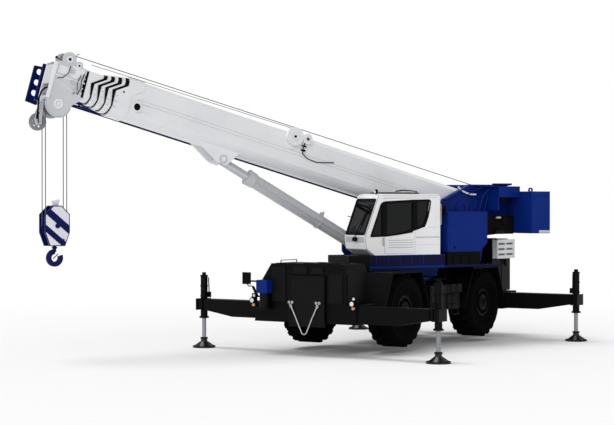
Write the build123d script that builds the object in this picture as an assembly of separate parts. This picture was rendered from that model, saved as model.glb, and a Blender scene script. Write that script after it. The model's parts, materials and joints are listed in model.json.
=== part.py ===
from build123d import *
import math
import os

# Rough-terrain mobile crane on its four outriggers, millimetres.
# Three working frames are used:
#   carrier frame  X forward, Y left, Z up, origin on the ground under the swing centre
#   upper frame    the carrier frame turned by SLEW about Z
#   boom frame     X along the boom, Z square to it, origin on the boom's foot pin
# At the end everything moves so that the origin is the bottom centre of the whole crane.

# ---------------------------------------------------------------- clearances
RUN = 0.3            # running gap of pins, shafts and wear pads
MOVE = 20.0          # open gap beside large moving pieces

# ---------------------------------------------------------------- stance
SLEW = -26.3         # upper turned to the carrier's right, degrees
LUFF = 15.2          # boom above the horizontal, degrees

# ---------------------------------------------------------------- running gear
FRONT_AXLE_X = 2172.0
REAR_AXLE_X = -2064.0
WHEEL_Y = 1282.0     # half the track
WHEEL_Z = 1077.0     # wheel centre with the tyres off the ground
TYRE_R = 935.0       # out to the lug tips
RIM_R = 335.0        # bead seat
RIM_WALL = 18.0
KING_IN = 80.0       # king pin inboard of the tyre's middle
KING_R = 105.0
KING_H = 145.0       # half height of the steering knuckle
FORK_H = 195.0       # half height of the axle's fork round it
SPINDLE_R = 120.0
AXLE_R = 118.0

# ---------------------------------------------------------------- chassis
FRAME_HALF_W = 460.0
FRAME_TOP = 1640.0
FRAME_LOW = 1350.0   # over the axles
BELLY_LOW = 980.0    # between the axles
RING_R = 950.0
RING_IN = 740.0
RING_H = 110.0

# ---------------------------------------------------------------- outriggers
BOX_HALF_Y = 1500.0
BOX_WALL = 25.0
BEAM_W = 380.0
BEAM_TOP = 1280.0
BEAM_BOTTOM = 850.0
BEAM_WALL = 20.0
BEAM_RISE = 150.0     # the underside rises by this towards the jack
BEAM_RISE_RUN = 900.0
JACK_Y = 3650.0      # half the span between float centres
JACK_X = {"fr": 3670.0, "fl": 4160.0, "rr": -4020.0, "rl": -3600.0}
HOUSING_R = 92.0
HOUSING_TOP = 1905.0
HOUSING_FLANGE_R = 126.0
HOUSING_FLANGE_T = 44.0
ROD_R = 55.0
FLOAT_R = 300.0
FLOAT_H = 38.0
BEAM_INNER = 560.0   # inner end of a beam that is out

# ---------------------------------------------------------------- upper
DECK_LOW = 2100.0
DECK_TOP = 2450.0
BASE_LOW = FRAME_TOP + RING_H
BASE_T = 80.0
CHEEK_IN = 405.0     # inner face of the side plates that hold the boom foot
CHEEK_T = 60.0
FOOT_X = -1863.0     # boom foot pin
FOOT_Z = 3652.0
FOOT_R = 110.0
CAB_BACK = -405.0
CAB_IN = 560.0
CAB_OUT = 1548.0
CAB_WALL = 60.0
CW_FRONT = -3365.0
CW_BACK = -3998.0
CW_LOW = 2970.0
CW_TOP = 4111.0
CW_HALF_W = 1600.0

# ---------------------------------------------------------------- boom
BOOM_HALF_W = 380.0
BOOM_TOP = 507.0
BOOM_LOW = -506.0
BOOM_WALL = 12.0
BOOM_CORNER = 95.0  # cut corners of the top
BELLY_R = 430.0      # rounded underside
BOOM_STEP = 32.0     # each section is smaller by this on every side
BOOM_REAR = -500.0
MOUTH = 10550.0      # front end of the base section
MOUTH_STEP = 180.0   # each section's collar stands out by this
REAR_STEP = 250.0
COLLAR_BASE = 420.0  # width of the base section's collar
COLLAR = 75.0        # and of the others
PAD = 460.0
MOUTH_BACK = 290.0   # the upper half of each mouth is set back by this
MOUTH_LOW = 100.0    # the slanted part of the mouth runs between these two heights
MOUTH_HIGH = 300.0
HEAD_TIP = 12190.0
SHEAVE_U = 11850.0   # main sheave axis in the boom frame
SHEAVE_V = -620.0
SHEAVE_PITCH = 270.0
SHEAVE_Y = 110.0
ROPE_R = 11.0

# ---------------------------------------------------------------- lift cylinder, upper frame
LIFT_EYE_X = 5320.0
LIFT_EYE_Z = 4898.0
LIFT_FOOT_X = 1200.0
LIFT_FOOT_Z = 2670.0
LIFT_R = 175.0
LIFT_ROD_R = 110.0
LIFT_PIN_R = 75.0
EYE_R = 135.0
EYE_HALF = 150.0
FOOT_HALF = 170.0
BRACKET_IN = 225.0
BRACKET_OUT = 262.0
LIFT_COLLAR_R = 200.0
LIFT_NECK = 920.0    # from the rod's eye to the gland as it stands

# ---------------------------------------------------------------- hook block, upper frame heights
BLOCK_TOP = 3730.0
BLOCK_LOW = 2760.0
BLOCK_HALF_X = 315.0
BLOCK_HALF_Y = 200.0
CHEEK_PLATE = 52.0
HOOK_LOW = 2265.0

NODES = {}


def block(x0, x1, y0, y1, z0, z1):
    return Pos((x0 + x1) / 2, (y0 + y1) / 2, (z0 + z1) / 2) * Box(x1 - x0, abs(y1 - y0), z1 - z0)


def slab_y(points, y0, y1):
    """Outline in X and Z, extruded across from y0 to y1."""
    face = Plane.XZ.offset(-y0) * make_face(Polyline(*points, close=True))
    return extrude(face, amount=y1 - y0, dir=(0, 1, 0))


def slab_x(points, x0, x1):
    """Outline in Y and Z, extruded along from x0 to x1."""
    face = Plane.YZ.offset(x0) * make_face(Polyline(*points, close=True))
    return extrude(face, amount=x1 - x0, dir=(1, 0, 0))


def slab_z(points, z0, z1):
    """Outline in X and Y, extruded up from z0 to z1."""
    face = Plane.XY.offset(z0) * make_face(Polyline(*points, close=True))
    return extrude(face, amount=z1 - z0, dir=(0, 0, 1))


def shaft(start, end, radius):
    a = Vector(*start)
    b = Vector(*end)
    plane = Plane(origin=a, z_dir=b - a)
    return extrude(plane * Circle(radius), amount=(b - a).length)


def bar(start, end, side):
    """Square bar between two points."""
    a = Vector(*start)
    b = Vector(*end)
    plane = Plane(origin=a, z_dir=b - a)
    return extrude(plane * Rectangle(side, side), amount=(b - a).length)


def turned(points, axis=Axis.Y):
    """Outline of (radius, along) pairs turned about Y."""
    return revolve(make_face(Polyline(*points, close=True)), axis, 360)


def solids_of(shape):
    return list(shape.solids())


def node(name, frame, *shapes):
    """Keeps the shapes as the solids of one named piece, placed by its frame."""
    found = []
    for shape in shapes:
        found += solids_of(shape)
    NODES[name] = [frame * solid for solid in found]


CARRIER = Location()
UPPER = Rot(0, 0, SLEW)
BOOM = UPPER * Pos(FOOT_X, 0, FOOT_Z) * Rot(0, -LUFF, 0)


def upper_to_boom(x, z):
    """A point of the upper's middle plane, given in the boom frame."""
    a = math.radians(LUFF)
    dx = x - FOOT_X
    dz = z - FOOT_Z
    return dx * math.cos(a) + dz * math.sin(a), -dx * math.sin(a) + dz * math.cos(a)


def boom_to_upper(u, v):
    a = math.radians(LUFF)
    return FOOT_X + u * math.cos(a) - v * math.sin(a), FOOT_Z + u * math.sin(a) + v * math.cos(a)


# ================================================================ chassis
TUNNEL_HALF = BEAM_W / 2 + MOVE / 4
BOX_SIDE = TUNNEL_HALF + BOX_WALL
BOX_FLOOR = BEAM_BOTTOM - RUN - BOX_WALL
FLANGE_TOP = BOX_FLOOR - MOVE / 4     # the housing's flange passes under the box when its beam is in
HOUSING_LOW = FLANGE_TOP - HOUSING_FLANGE_T
BOX_ROOF = BEAM_TOP + RUN + BOX_WALL
FRONT_BOX_BACK = JACK_X["fr"] - BOX_SIDE
FRONT_BOX_FRONT = JACK_X["fl"] + BOX_SIDE
REAR_BOX_FRONT = JACK_X["rl"] + BOX_SIDE
AXLES_X = (FRONT_AXLE_X, REAR_AXLE_X)


def frame_outline(wall, end):
    return [(REAR_BOX_FRONT - end, FRAME_TOP - wall), (FRONT_BOX_BACK + end, FRAME_TOP - wall),
            (FRONT_BOX_BACK + end, FRAME_LOW + wall), (1500 - wall, FRAME_LOW + wall),
            (1150 - wall, BELLY_LOW + wall), (-1050 + wall, BELLY_LOW + wall),
            (-1400 + wall, FRAME_LOW + wall), (REAR_BOX_FRONT - end, FRAME_LOW + wall)]


def chassis():
    """Fish-bellied box beam from one outrigger box to the other."""
    body = slab_y(frame_outline(0, 0), -FRAME_HALF_W, FRAME_HALF_W)
    return body - slab_y(frame_outline(30, 10), -FRAME_HALF_W + 30, FRAME_HALF_W - 30)


def outrigger_box(inner, outer):
    """Two tunnels side by side across the chassis, one for each beam."""
    lo = min(inner, outer)
    hi = max(inner, outer)
    body = block(lo - BOX_SIDE, hi + BOX_SIDE, -BOX_HALF_Y, BOX_HALF_Y, BOX_FLOOR, BOX_ROOF)
    for x in (lo, hi):
        body -= block(x - TUNNEL_HALF, x + TUNNEL_HALF, -BOX_HALF_Y - 1, BOX_HALF_Y + 1,
                      BEAM_BOTTOM - RUN, BEAM_TOP + RUN)
    return body


node("chassis", CARRIER, chassis())
node("outrigger_boxes", CARRIER, outrigger_box(JACK_X["fr"], JACK_X["fl"]),
     outrigger_box(JACK_X["rl"], JACK_X["rr"]))

# Slewing ring under the upper
race = Cylinder(RING_R, RING_H - RUN) - Cylinder(RING_IN, RING_H)
ring = Pos(0, 0, FRAME_TOP + (RING_H - RUN) / 2) * race
node("slewing_ring", CARRIER, ring)

# Front housing over the front outrigger box: (Y, Z) outline
HOOD_TOP = 2285.0
HOOD_FRONT = FRONT_BOX_FRONT + 20.0
hood_outline = [(-1280, BOX_ROOF), (-1280, 1860), (-990, HOOD_TOP), (1150, HOOD_TOP), (1230, 2120),
                (1230, BOX_ROOF)]
node("front_housing", CARRIER, slab_x(hood_outline, FRONT_BOX_BACK, HOOD_FRONT))
node("front_panel", CARRIER, slab_x([(-420, 740), (-420, 1990), (630, 1990), (630, 740)],
                                    HOOD_FRONT, HOOD_FRONT + 60))

# Engine cover at the rear: hollow, open below over the rear outrigger box
COVER_TOP = 2780.0
COVER_FRONT = REAR_BOX_FRONT
COVER_BACK = JACK_X["rr"] - 480.0
COVER_HALF_Y = 1180.0
COVER_WALL = 40.0


def engine_cover():
    body = slab_y([(COVER_FRONT, BOX_ROOF), (COVER_FRONT, COVER_TOP - 60), (COVER_FRONT - 60, COVER_TOP),
                   (COVER_BACK + 160, COVER_TOP), (COVER_BACK, COVER_TOP - 240), (COVER_BACK, BOX_ROOF)],
                  -COVER_HALF_Y, COVER_HALF_Y)
    return body - block(COVER_BACK + COVER_WALL, COVER_FRONT - COVER_WALL, -COVER_HALF_Y + COVER_WALL,
                        COVER_HALF_Y - COVER_WALL, BOX_ROOF - 1, COVER_TOP - 280)


node("engine_cover", CARRIER, engine_cover())
ENGINE_TOP = 2250.0
node("engine", CARRIER, block(COVER_BACK + 320, COVER_FRONT - COVER_WALL - MOVE, -420, 480,
                              BOX_ROOF, ENGINE_TOP))

# Louvred cooler box on the cover's left side
LOUVRE_X0 = -4480.0
LOUVRE_X1 = -3400.0
LOUVRE_LOW = 2230.0
louvre = block(LOUVRE_X0, LOUVRE_X1, COVER_HALF_Y, COVER_HALF_Y + 150, LOUVRE_LOW, 2760)
for column in range(2):
    for row in range(3):
        x = LOUVRE_X0 + 80 + column * 500
        z = LOUVRE_LOW + 80 + row * 150
        louvre -= block(x, x + 420, COVER_HALF_Y + 110, COVER_HALF_Y + 151, z, z + 60)
node("louvred_box", CARRIER, louvre)

# Mudguards: (X from the axle, Z) of the outer skin
GUARD_OUT = 1660.0
GUARD_IN = 930.0
GUARD_POST = 640.0    # outer end of the posts that carry the guards
GUARD_T = 25.0
GUARD_TOP = 2045.0
GUARD_LOW = 1180.0
GUARD_GAP = 170.0     # open gap between a guard's end and the outrigger box
GUARD_REACH = FRONT_BOX_BACK - FRONT_AXLE_X - GUARD_GAP
GUARD_CREST = GUARD_REACH - 388.0
guard_skin = [(-GUARD_REACH, GUARD_LOW), (-GUARD_CREST, GUARD_TOP), (GUARD_CREST, GUARD_TOP),
              (GUARD_REACH, GUARD_LOW)]


def mudguard(axle_x):
    t = GUARD_T
    outline = [(axle_x + x, z) for x, z in guard_skin]
    inner = [(axle_x + GUARD_REACH - t, GUARD_LOW), (axle_x + GUARD_CREST - t * 0.6, GUARD_TOP - t),
             (axle_x - GUARD_CREST + t * 0.6, GUARD_TOP - t), (axle_x - GUARD_REACH + t, GUARD_LOW)]
    skin = slab_y(outline + inner, GUARD_IN, GUARD_OUT)
    bracket = block(axle_x - 150, axle_x - 40, FRAME_HALF_W, GUARD_POST, FRAME_TOP - 240, GUARD_TOP)
    shelf = block(axle_x - 150, axle_x - 40, FRAME_HALF_W, GUARD_IN + 60, GUARD_TOP - t, GUARD_TOP)
    return skin + bracket + shelf


guards = []
for axle_x in AXLES_X:
    guard = mudguard(axle_x)
    guards += [guard, mirror(guard, Plane.XZ)]
node("mudguards", CARRIER, *guards)

# Lockers and steps between the wheels
LOCKER_X0 = -820.0
LOCKER_X1 = 900.0
lockers = []
for side in (-1, 1):
    lockers.append(block(LOCKER_X0, LOCKER_X1, side * FRAME_HALF_W, side * 1600, 1410, 1640))
    lockers.append(block(LOCKER_X0 + 60, LOCKER_X1 - 60, side * FRAME_HALF_W, side * 1560,
                         BELLY_LOW, 1410 - RUN))
node("side_lockers", CARRIER, *lockers)


# Axles: differential bowl, tubes and forked ends that hold the king pins
def axle(axle_x):
    y_king = WHEEL_Y - KING_IN
    body = shaft((axle_x, -y_king + 200, WHEEL_Z), (axle_x, y_king - 200, WHEEL_Z), AXLE_R)
    bowl = [(0, -300), (150, -280), (240, -160), (270, 0), (240, 160), (150, 280), (0, 300)]
    body += Pos(axle_x, 0, WHEEL_Z) * Rot(0, 0, 90) * turned(bowl)
    for side in (-1, 1):
        body += block(axle_x - 130, axle_x + 130, side * 300, side * 440, WHEEL_Z + 60, FRAME_LOW)
        at = Pos(axle_x, side * y_king, WHEEL_Z)
        fork = block(axle_x - 70, axle_x + 70, side * (y_king - 230), side * y_king, WHEEL_Z - FORK_H,
                     WHEEL_Z + FORK_H)
        fork += at * Cylinder(KING_R, 2 * FORK_H)
        body += fork - at * Cylinder(KING_R + 40, 2 * KING_H + 2 * RUN)
    return body


node("axles", CARRIER, *[axle(x) for x in AXLES_X])

# Lamps on brackets and a mirror at the front corner
lamps = []
for y in (-1520, 1440):
    lamps.append(shaft((HOOD_FRONT, y, 1335), (HOOD_FRONT + 80, y, 1335), 70)
                 + block(FRONT_BOX_FRONT, HOOD_FRONT, y - 90, y + 90, 1230, 1430))
lamps.append(block(HOOD_FRONT - 60, HOOD_FRONT - 30, -1900, -1660, 1740, 2040)
             + block(HOOD_FRONT - 60, HOOD_FRONT - 40, -1670, -1280, 1800, 1840))
node("lamps_and_mirror", CARRIER, *lamps)

# ================================================================ wheels
BEAD = 265.0
TYRE_SIDES = 40
TYRE_LUGS = 20
TREAD_HALF = 290.0
TYRE_HALF = 368.0
TREAD_R = TYRE_R - 45


def ring_points(radius):
    """Corners of a regular outline, as (X, Z)."""
    step = 2 * math.pi / TYRE_SIDES
    return [(radius * math.cos(step * i), radius * math.sin(step * i)) for i in range(TYRE_SIDES)]


def faceted(sections):
    """Solid ruled through regular outlines, each given as (radius, Y)."""
    wires = [Wire.make_polygon([Vector(x, y, z) for x, z in ring_points(radius)], close=True)
             for radius, y in sections]
    return Solid.make_loft(wires, ruled=True)


def lug_ring(phase, y0, y1):
    """Straight lugs round half of the tread."""
    pitch = 2 * math.pi / TYRE_LUGS
    outline = []
    for i in range(TYRE_LUGS):
        start = pitch * i + phase
        for turn, radius in ((0.0, TREAD_R - 30), (0.05, TYRE_R), (0.5, TYRE_R), (0.55, TREAD_R - 30)):
            angle = start + turn * pitch
            outline.append((radius * math.cos(angle), radius * math.sin(angle)))
    return slab_y(outline, y0, y1)


def make_tyre():
    """Carcass with sunk beads and staggered lugs, its bore clear of the rim all round."""
    body = faceted([(800, -TYRE_HALF), (TREAD_R, -TREAD_HALF), (TREAD_R, TREAD_HALF), (800, TYRE_HALF)])
    body += lug_ring(0.0, -TREAD_HALF, 0)
    body += lug_ring(math.pi / TYRE_LUGS, 0, TREAD_HALF)
    for side in (-1, 1):
        body -= faceted([(RIM_R + 50, side * BEAD), (642, side * (TYRE_HALF + 20))])
    bore = (RIM_R + RUN) / math.cos(math.pi / TYRE_SIDES)
    return body - faceted([(bore, -BEAD - 1), (bore, BEAD + 1)])


def rim():
    """Barrel, disc and planetary hub, turned about Y with +Y outboard."""
    lip = RIM_R + 42
    flange = BEAD + RUN
    wall = RIM_R - RIM_WALL
    barrel = turned([(RIM_R, -flange), (lip, -flange), (lip, -flange - 16), (wall, -flange - 16), (wall, 30),
                     (SPINDLE_R + RUN, 30), (SPINDLE_R + RUN, 200), (0, 200), (0, 345), (120, 345), (150, 320),
                     (215, 300), (235, 90), (wall, 70), (wall, flange + 16), (lip, flange + 16), (lip, flange),
                     (RIM_R, flange)])
    return barrel


def knuckle(side):
    """Steering head on the king pin with the spindle that carries the wheel."""
    body = Cylinder(KING_R, 2 * KING_H)
    return body + shaft((0, 0, 0), (0, side * (KING_IN + 200 - RUN), 0), SPINDLE_R)


CORNERS = {"front_left": (FRONT_AXLE_X, 1), "front_right": (FRONT_AXLE_X, -1),
           "rear_left": (REAR_AXLE_X, 1), "rear_right": (REAR_AXLE_X, -1)}
tyre = make_tyre()
wheel_rim = rim()
for corner, (axle_x, side) in CORNERS.items():
    hub = Pos(axle_x, side * WHEEL_Y, WHEEL_Z)
    turn = Rot(0, 0, 0 if side > 0 else 180)
    node("tyre_" + corner, hub, tyre)
    node("rim_" + corner, hub * turn, wheel_rim)
    node("knuckle_" + corner, Pos(axle_x, side * (WHEEL_Y - KING_IN), WHEEL_Z), knuckle(side))


# ================================================================ outriggers
def outrigger_beam(x, side):
    """Box beam with the jack's housing at its outer end."""
    inner = side * BEAM_INNER
    tip = side * (JACK_Y + HOUSING_R + 30)
    near = side * (JACK_Y - HOUSING_R - 60)
    bend = near - side * BEAM_RISE_RUN
    low = BEAM_BOTTOM + BEAM_RISE
    body = slab_x([(inner, BEAM_BOTTOM), (inner, BEAM_TOP), (near, BEAM_TOP), (near, low), (bend, BEAM_BOTTOM)],
                  x - BEAM_W / 2, x + BEAM_W / 2)
    back = inner - side
    wall = near - side * 100
    body -= slab_x([(back, BEAM_BOTTOM + BEAM_WALL), (back, BEAM_TOP - BEAM_WALL), (wall, BEAM_TOP - BEAM_WALL),
                    (wall, low + 8), (bend, BEAM_BOTTOM + BEAM_WALL + 3)],
                   x - BEAM_W / 2 + BEAM_WALL, x + BEAM_W / 2 - BEAM_WALL)
    body += block(x - BEAM_W / 2 + 30, x + BEAM_W / 2 - 30, near, tip, low, BEAM_TOP)
    body += block(x - BEAM_W / 2 - 12, x + BEAM_W / 2 + 12, side * (JACK_Y - 75), side * (JACK_Y - 45),
                  low - 12, BEAM_TOP + 14)
    flange = Cylinder(HOUSING_FLANGE_R, HOUSING_FLANGE_T)
    body += Pos(x, side * JACK_Y, FLANGE_TOP - HOUSING_FLANGE_T / 2) * flange
    body += block(x - 14, x + 14, side * JACK_Y - 55, side * JACK_Y + 55, HOUSING_TOP, HOUSING_TOP + 70)
    axis = Pos(x, side * JACK_Y, (HOUSING_LOW + HOUSING_TOP) / 2)
    body += axis * Cylinder(HOUSING_R, HOUSING_TOP - HOUSING_LOW)
    bore = HOUSING_TOP - HOUSING_LOW - 40
    body -= Pos(x, side * JACK_Y, HOUSING_LOW + bore / 2 - 1) * Cylinder(ROD_R + RUN, bore)
    return body


def jack(x, side):
    """Rod with the round float on its ball end."""
    at = Pos(x, side * JACK_Y, 0)
    rod_top = HOUSING_LOW + 445
    rod = at * Pos(0, 0, (rod_top + 150) / 2) * Cylinder(ROD_R, rod_top - 150)
    socket = at * Pos(0, 0, 215) * Cylinder(85, 110)
    cone = at * Pos(0, 0, FLOAT_H + 61) * Cone(215, 105, 122)
    pad = at * Pos(0, 0, FLOAT_H / 2) * Cylinder(FLOAT_R, FLOAT_H)
    return rod + socket + cone + pad


SIDE_OF = {"fr": -1, "fl": 1, "rr": -1, "rl": 1}
for leg, x in JACK_X.items():
    node("outrigger_beam_" + leg, CARRIER, outrigger_beam(x, SIDE_OF[leg]))
    node("outrigger_jack_" + leg, CARRIER, jack(x, SIDE_OF[leg]))

# ================================================================ turntable
# Side plate that holds the boom's foot pin: (X, Z) outline
CHEEK = [(-1050, BASE_LOW + BASE_T), (1000, BASE_LOW + BASE_T), (1100, DECK_LOW + 20), (1400, 2520),
         (1400, 2780), (1150, 2900), (500, 2900), (-900, 3450), (-1230, 3900), (-2070, 4300),
         (CW_FRONT, 4300), (CW_FRONT, CW_LOW), (-2650, 2900),
         (-2500, 2200), (-1100, DECK_LOW + 20)]
CHEEK_OUT = CHEEK_IN + CHEEK_T


def turntable():
    body = Pos(0, 0, BASE_LOW + BASE_T / 2) * Cylinder(1010, BASE_T)
    for side in (-1, 1):
        faces = sorted((side * CHEEK_IN, side * CHEEK_OUT))
        body += slab_y(CHEEK, faces[0], faces[1])
    body += block(-2500, -1150, -CHEEK_IN, CHEEK_IN, 2200, 2260)
    body += block(-2640, -2580, -CHEEK_IN, CHEEK_IN, 2900, 3300)
    # foot pin right across both plates, with bosses that guide the boom's sides, and the
    # bosses that take the lift cylinder's foot between them
    for side in (-1, 1):
        body += shaft((LIFT_FOOT_X, side * (FOOT_HALF + MOVE), LIFT_FOOT_Z),
                      (LIFT_FOOT_X, side * CHEEK_IN, LIFT_FOOT_Z), LIFT_PIN_R + 25)
        body += shaft((FOOT_X, side * (BOOM_HALF_W + RUN), FOOT_Z), (FOOT_X, side * CHEEK_IN, FOOT_Z),
                      FOOT_R + 90)
    body += shaft((FOOT_X, -CHEEK_OUT, FOOT_Z), (FOOT_X, CHEEK_OUT, FOOT_Z), FOOT_R)
    return body


node("turntable", UPPER, turntable())

# Decks either side of the side plates; front corner kept inside the swing circle
decks = [slab_z([(2400, CHEEK_OUT), (2400, 1548), (-2350, 1548), (-2350, CHEEK_OUT)], DECK_LOW, DECK_LOW + 60),
         slab_z([(1500, -CHEEK_OUT), (1500, -1500), (-2350, -1500), (-2350, -CHEEK_OUT)],
                DECK_LOW, DECK_LOW + 60)]
decks.append(slab_y([(2400, DECK_LOW + 60), (2400, DECK_TOP), (-560, DECK_TOP), (-560, DECK_LOW + 60)],
                    CHEEK_OUT + 40, 1548))
node("decks", UPPER, *decks)

# ---------------------------------------------------------------- cab
CAB_SIDE = [(CAB_BACK, DECK_TOP), (1640, DECK_TOP), (1890, 2620), (1930, 2930), (1520, 3985), (1400, 4030),
            (-330, 4030), (CAB_BACK, 3950)]
CAB_INSIDE = [(CAB_BACK + CAB_WALL, DECK_TOP + CAB_WALL), (1610, DECK_TOP + CAB_WALL), (1832, 2655),
              (1866, 2930),
              (1470, 3945), (1390, 4030 - CAB_WALL), (-300, 4030 - CAB_WALL), (CAB_BACK + CAB_WALL, 3920)]
DOOR_X0 = 390.0
DOOR_X1 = 1330.0
DOOR_LOW = 2490.0
DOOR_TOP = 3930.0
WINDOW_DOOR = [(450, 3110), (450, 3830), (1270, 3780), (1270, 2960), (850, 2990)]
WINDOW_FRONT = [(1385, 2950), (1385, 3790), (1440, 3770), (1760, 2960)]
WINDOW_REAR = [(-60, 3850), (330, 3840), (330, 3130), (110, 3200), (0, 3450)]
WINDOW_RIGHT = [(-250, 3100), (-250, 3850), (1440, 3770), (1730, 3000)]
GLASS_T = 12.0


def pane(points, y_mid):
    opening = make_face(Polyline(*points, close=True))
    face = Plane.XZ.offset(-(y_mid - GLASS_T / 2)) * offset(opening, amount=-RUN)
    return extrude(face, amount=GLASS_T, dir=(0, 1, 0))


def windscreen_cut():
    return slab_y([(1340, 3900), (1700, 3900), (2050, 2990), (1700, 2990)], CAB_IN + 70, CAB_OUT - 70)


def cab_shell():
    body = slab_y(CAB_SIDE, CAB_IN, CAB_OUT) - slab_y(CAB_INSIDE, CAB_IN + CAB_WALL, CAB_OUT - CAB_WALL)
    out0 = CAB_OUT - CAB_WALL - 1
    for window in (WINDOW_FRONT, WINDOW_REAR):
        body -= slab_y(window, out0, CAB_OUT + 1)
    body -= slab_y([(DOOR_X0, DOOR_LOW), (DOOR_X0, DOOR_TOP), (DOOR_X1, DOOR_TOP), (DOOR_X1, DOOR_LOW)],
                   out0, CAB_OUT + 1)
    body -= slab_y(WINDOW_RIGHT, CAB_IN - 1, CAB_IN + CAB_WALL + 1)
    body -= windscreen_cut()
    body -= block(CAB_BACK - 1, CAB_BACK + CAB_WALL + 1, CAB_IN + 120, CAB_OUT - 120, 3200, 3850)
    body -= block(150, 1250, CAB_IN + 120, CAB_OUT - 120, 4030 - CAB_WALL - 1, 4031)
    return body


def cab_door():
    r = 4.0
    body = slab_y([(DOOR_X0 + r, DOOR_LOW + RUN), (DOOR_X0 + r, DOOR_TOP - r), (DOOR_X1 - r, DOOR_TOP - r),
                   (DOOR_X1 - r, DOOR_LOW + RUN)], CAB_OUT - CAB_WALL, CAB_OUT)
    body -= slab_y(WINDOW_DOOR, CAB_OUT - CAB_WALL - 1, CAB_OUT + 1)
    return body


def windscreen():
    line = [(1894, 2990 + RUN), (1540, 3900 - RUN)]
    outline = [line[0], line[1], (line[1][0] + 13, line[1][1]), (line[0][0] + 13, line[0][1])]
    return slab_y(outline, CAB_IN + 70 + RUN, CAB_OUT - 70 - RUN)


node("cab_shell", UPPER, cab_shell())
node("cab_door", UPPER, cab_door())
mid_left = CAB_OUT - CAB_WALL / 2
mid_right = CAB_IN + CAB_WALL / 2
rear_pane = block(CAB_BACK + 25, CAB_BACK + 25 + GLASS_T, CAB_IN + 120 + RUN, CAB_OUT - 120 - RUN,
                  3200 + RUN, 3850 - RUN)
roof_pane = block(150 + RUN, 1250 - RUN, CAB_IN + 120 + RUN, CAB_OUT - 120 - RUN, 3990, 3990 + GLASS_T)
node("cab_glass", UPPER, windscreen(), pane(WINDOW_FRONT, mid_left), pane(WINDOW_REAR, mid_left),
     pane(WINDOW_DOOR, mid_left), pane(WINDOW_RIGHT, mid_right), rear_pane, roof_pane)

FLOOR = DECK_TOP + CAB_WALL
seat_mid = (CAB_IN + CAB_OUT) / 2
seat = block(280, 760, seat_mid - 240, seat_mid + 240, FLOOR + 380, FLOOR + 500)
seat += slab_y([(280, FLOOR + 480), (420, FLOOR + 480), (260, FLOOR + 1250), (150, FLOOR + 1250)],
               seat_mid - 230, seat_mid + 230)
seat += block(380, 680, seat_mid - 150, seat_mid + 150, FLOOR, FLOOR + 380)
console = slab_y([(1400, FLOOR), (1600, FLOOR), (1760, FLOOR + 380), (1560, FLOOR + 520), (1400, FLOOR + 420)],
                 seat_mid - 260, seat_mid + 260)
node("cab_seat_and_console", UPPER, seat, console)

# ---------------------------------------------------------------- cabinet, winches, counterweight
CABINET = [(-640, DECK_LOW + 60), (-640, 3565), (-1930, 3565), (-1930, 2740), (-1690, 2510),
           (-1690, DECK_LOW + 60)]
cabinet = slab_y(CABINET, CHEEK_OUT, 1548)
right_box = block(-2300, -600, -1500, -CHEEK_OUT, DECK_LOW + 60, 2900)
node("cabinets", UPPER, cabinet, right_box)

WINCH_X = -3000.0
winches = []
for z in (3330.0, 3960.0):
    half = CHEEK_IN - RUN
    drum = shaft((WINCH_X, -half, z), (WINCH_X, half, z), 200)
    for y in (-half + 20, half - 60):
        drum += shaft((WINCH_X, y, z), (WINCH_X, y + 40, z), 290)
    winches.append(drum)
node("winches", UPPER, *winches)

CW_OUTLINE = [(CW_BACK, CW_LOW), (CW_BACK, CW_TOP), (CW_FRONT, CW_TOP), (CW_FRONT, CW_LOW)]
counterweight = slab_y(CW_OUTLINE, -CW_HALF_W, CW_HALF_W)
node("counterweight", UPPER, counterweight)


# ================================================================ boom
def boom_face(inset, plus=0.0):
    """Section of the boom: flat sides and top, rounded underside. Insets are true offsets."""
    by = inset - plus
    w = BOOM_HALF_W - by
    top = BOOM_TOP - by
    corner = BOOM_CORNER - 0.586 * by
    arc = BELLY_R - by
    centre = BOOM_LOW + BELLY_R
    turn = centre - math.sqrt(arc ** 2 - w ** 2)
    edges = [Line((-w, turn), (-w, top - corner)), Line((-w, top - corner), (-w + corner, top)),
             Line((-w + corner, top), (w - corner, top)), Line((w - corner, top), (w, top - corner)),
             Line((w, top - corner), (w, turn)), ThreePointArc((w, turn), (0, centre - arc), (-w, turn))]
    return make_face(Wire(edges))


def boom_solid(inset, u0, u1, plus=0.0):
    return extrude(Plane.YZ.offset(u0) * boom_face(inset, plus), amount=u1 - u0, dir=(1, 0, 0))


def mouth_outline(mouth, back):
    """Region ahead of a stepped mouth that is moved back by some distance."""
    front = mouth + 800
    high = BOOM_TOP + 60
    return [(mouth - back, BOOM_LOW - 60), (mouth - back, MOUTH_LOW), (mouth - back - MOUTH_BACK, MOUTH_HIGH),
            (mouth - back - MOUTH_BACK, high), (front, high), (front, BOOM_LOW - 60)]


def boom_section(index):
    """One box section with its collar and the wear pads round its mouth."""
    inset = BOOM_STEP * index
    rear = BOOM_REAR if index == 0 else 150 + REAR_STEP * index
    mouth = MOUTH + MOUTH_STEP * index
    body = boom_solid(inset, rear, mouth)
    if index == 4:
        return body - boom_solid(inset + BOOM_WALL, rear - 1, mouth - MOUTH_STEP)
    width = COLLAR_BASE if index == 0 else COLLAR
    ahead = slab_y(mouth_outline(mouth, 0), -BOOM_HALF_W - 60, BOOM_HALF_W + 60)
    band = slab_y(mouth_outline(mouth, width), -BOOM_HALF_W - 60, BOOM_HALF_W + 60)
    body += boom_solid(inset, mouth - width - MOUTH_BACK - 10, mouth, 26.0 if index == 0 else 14.0) & band
    body -= ahead
    body -= boom_solid(inset + BOOM_WALL, rear - 1 if index else rear + 700, mouth - PAD)
    return body - boom_solid(inset + BOOM_STEP - RUN, mouth - PAD - 1, mouth + 1)


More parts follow.
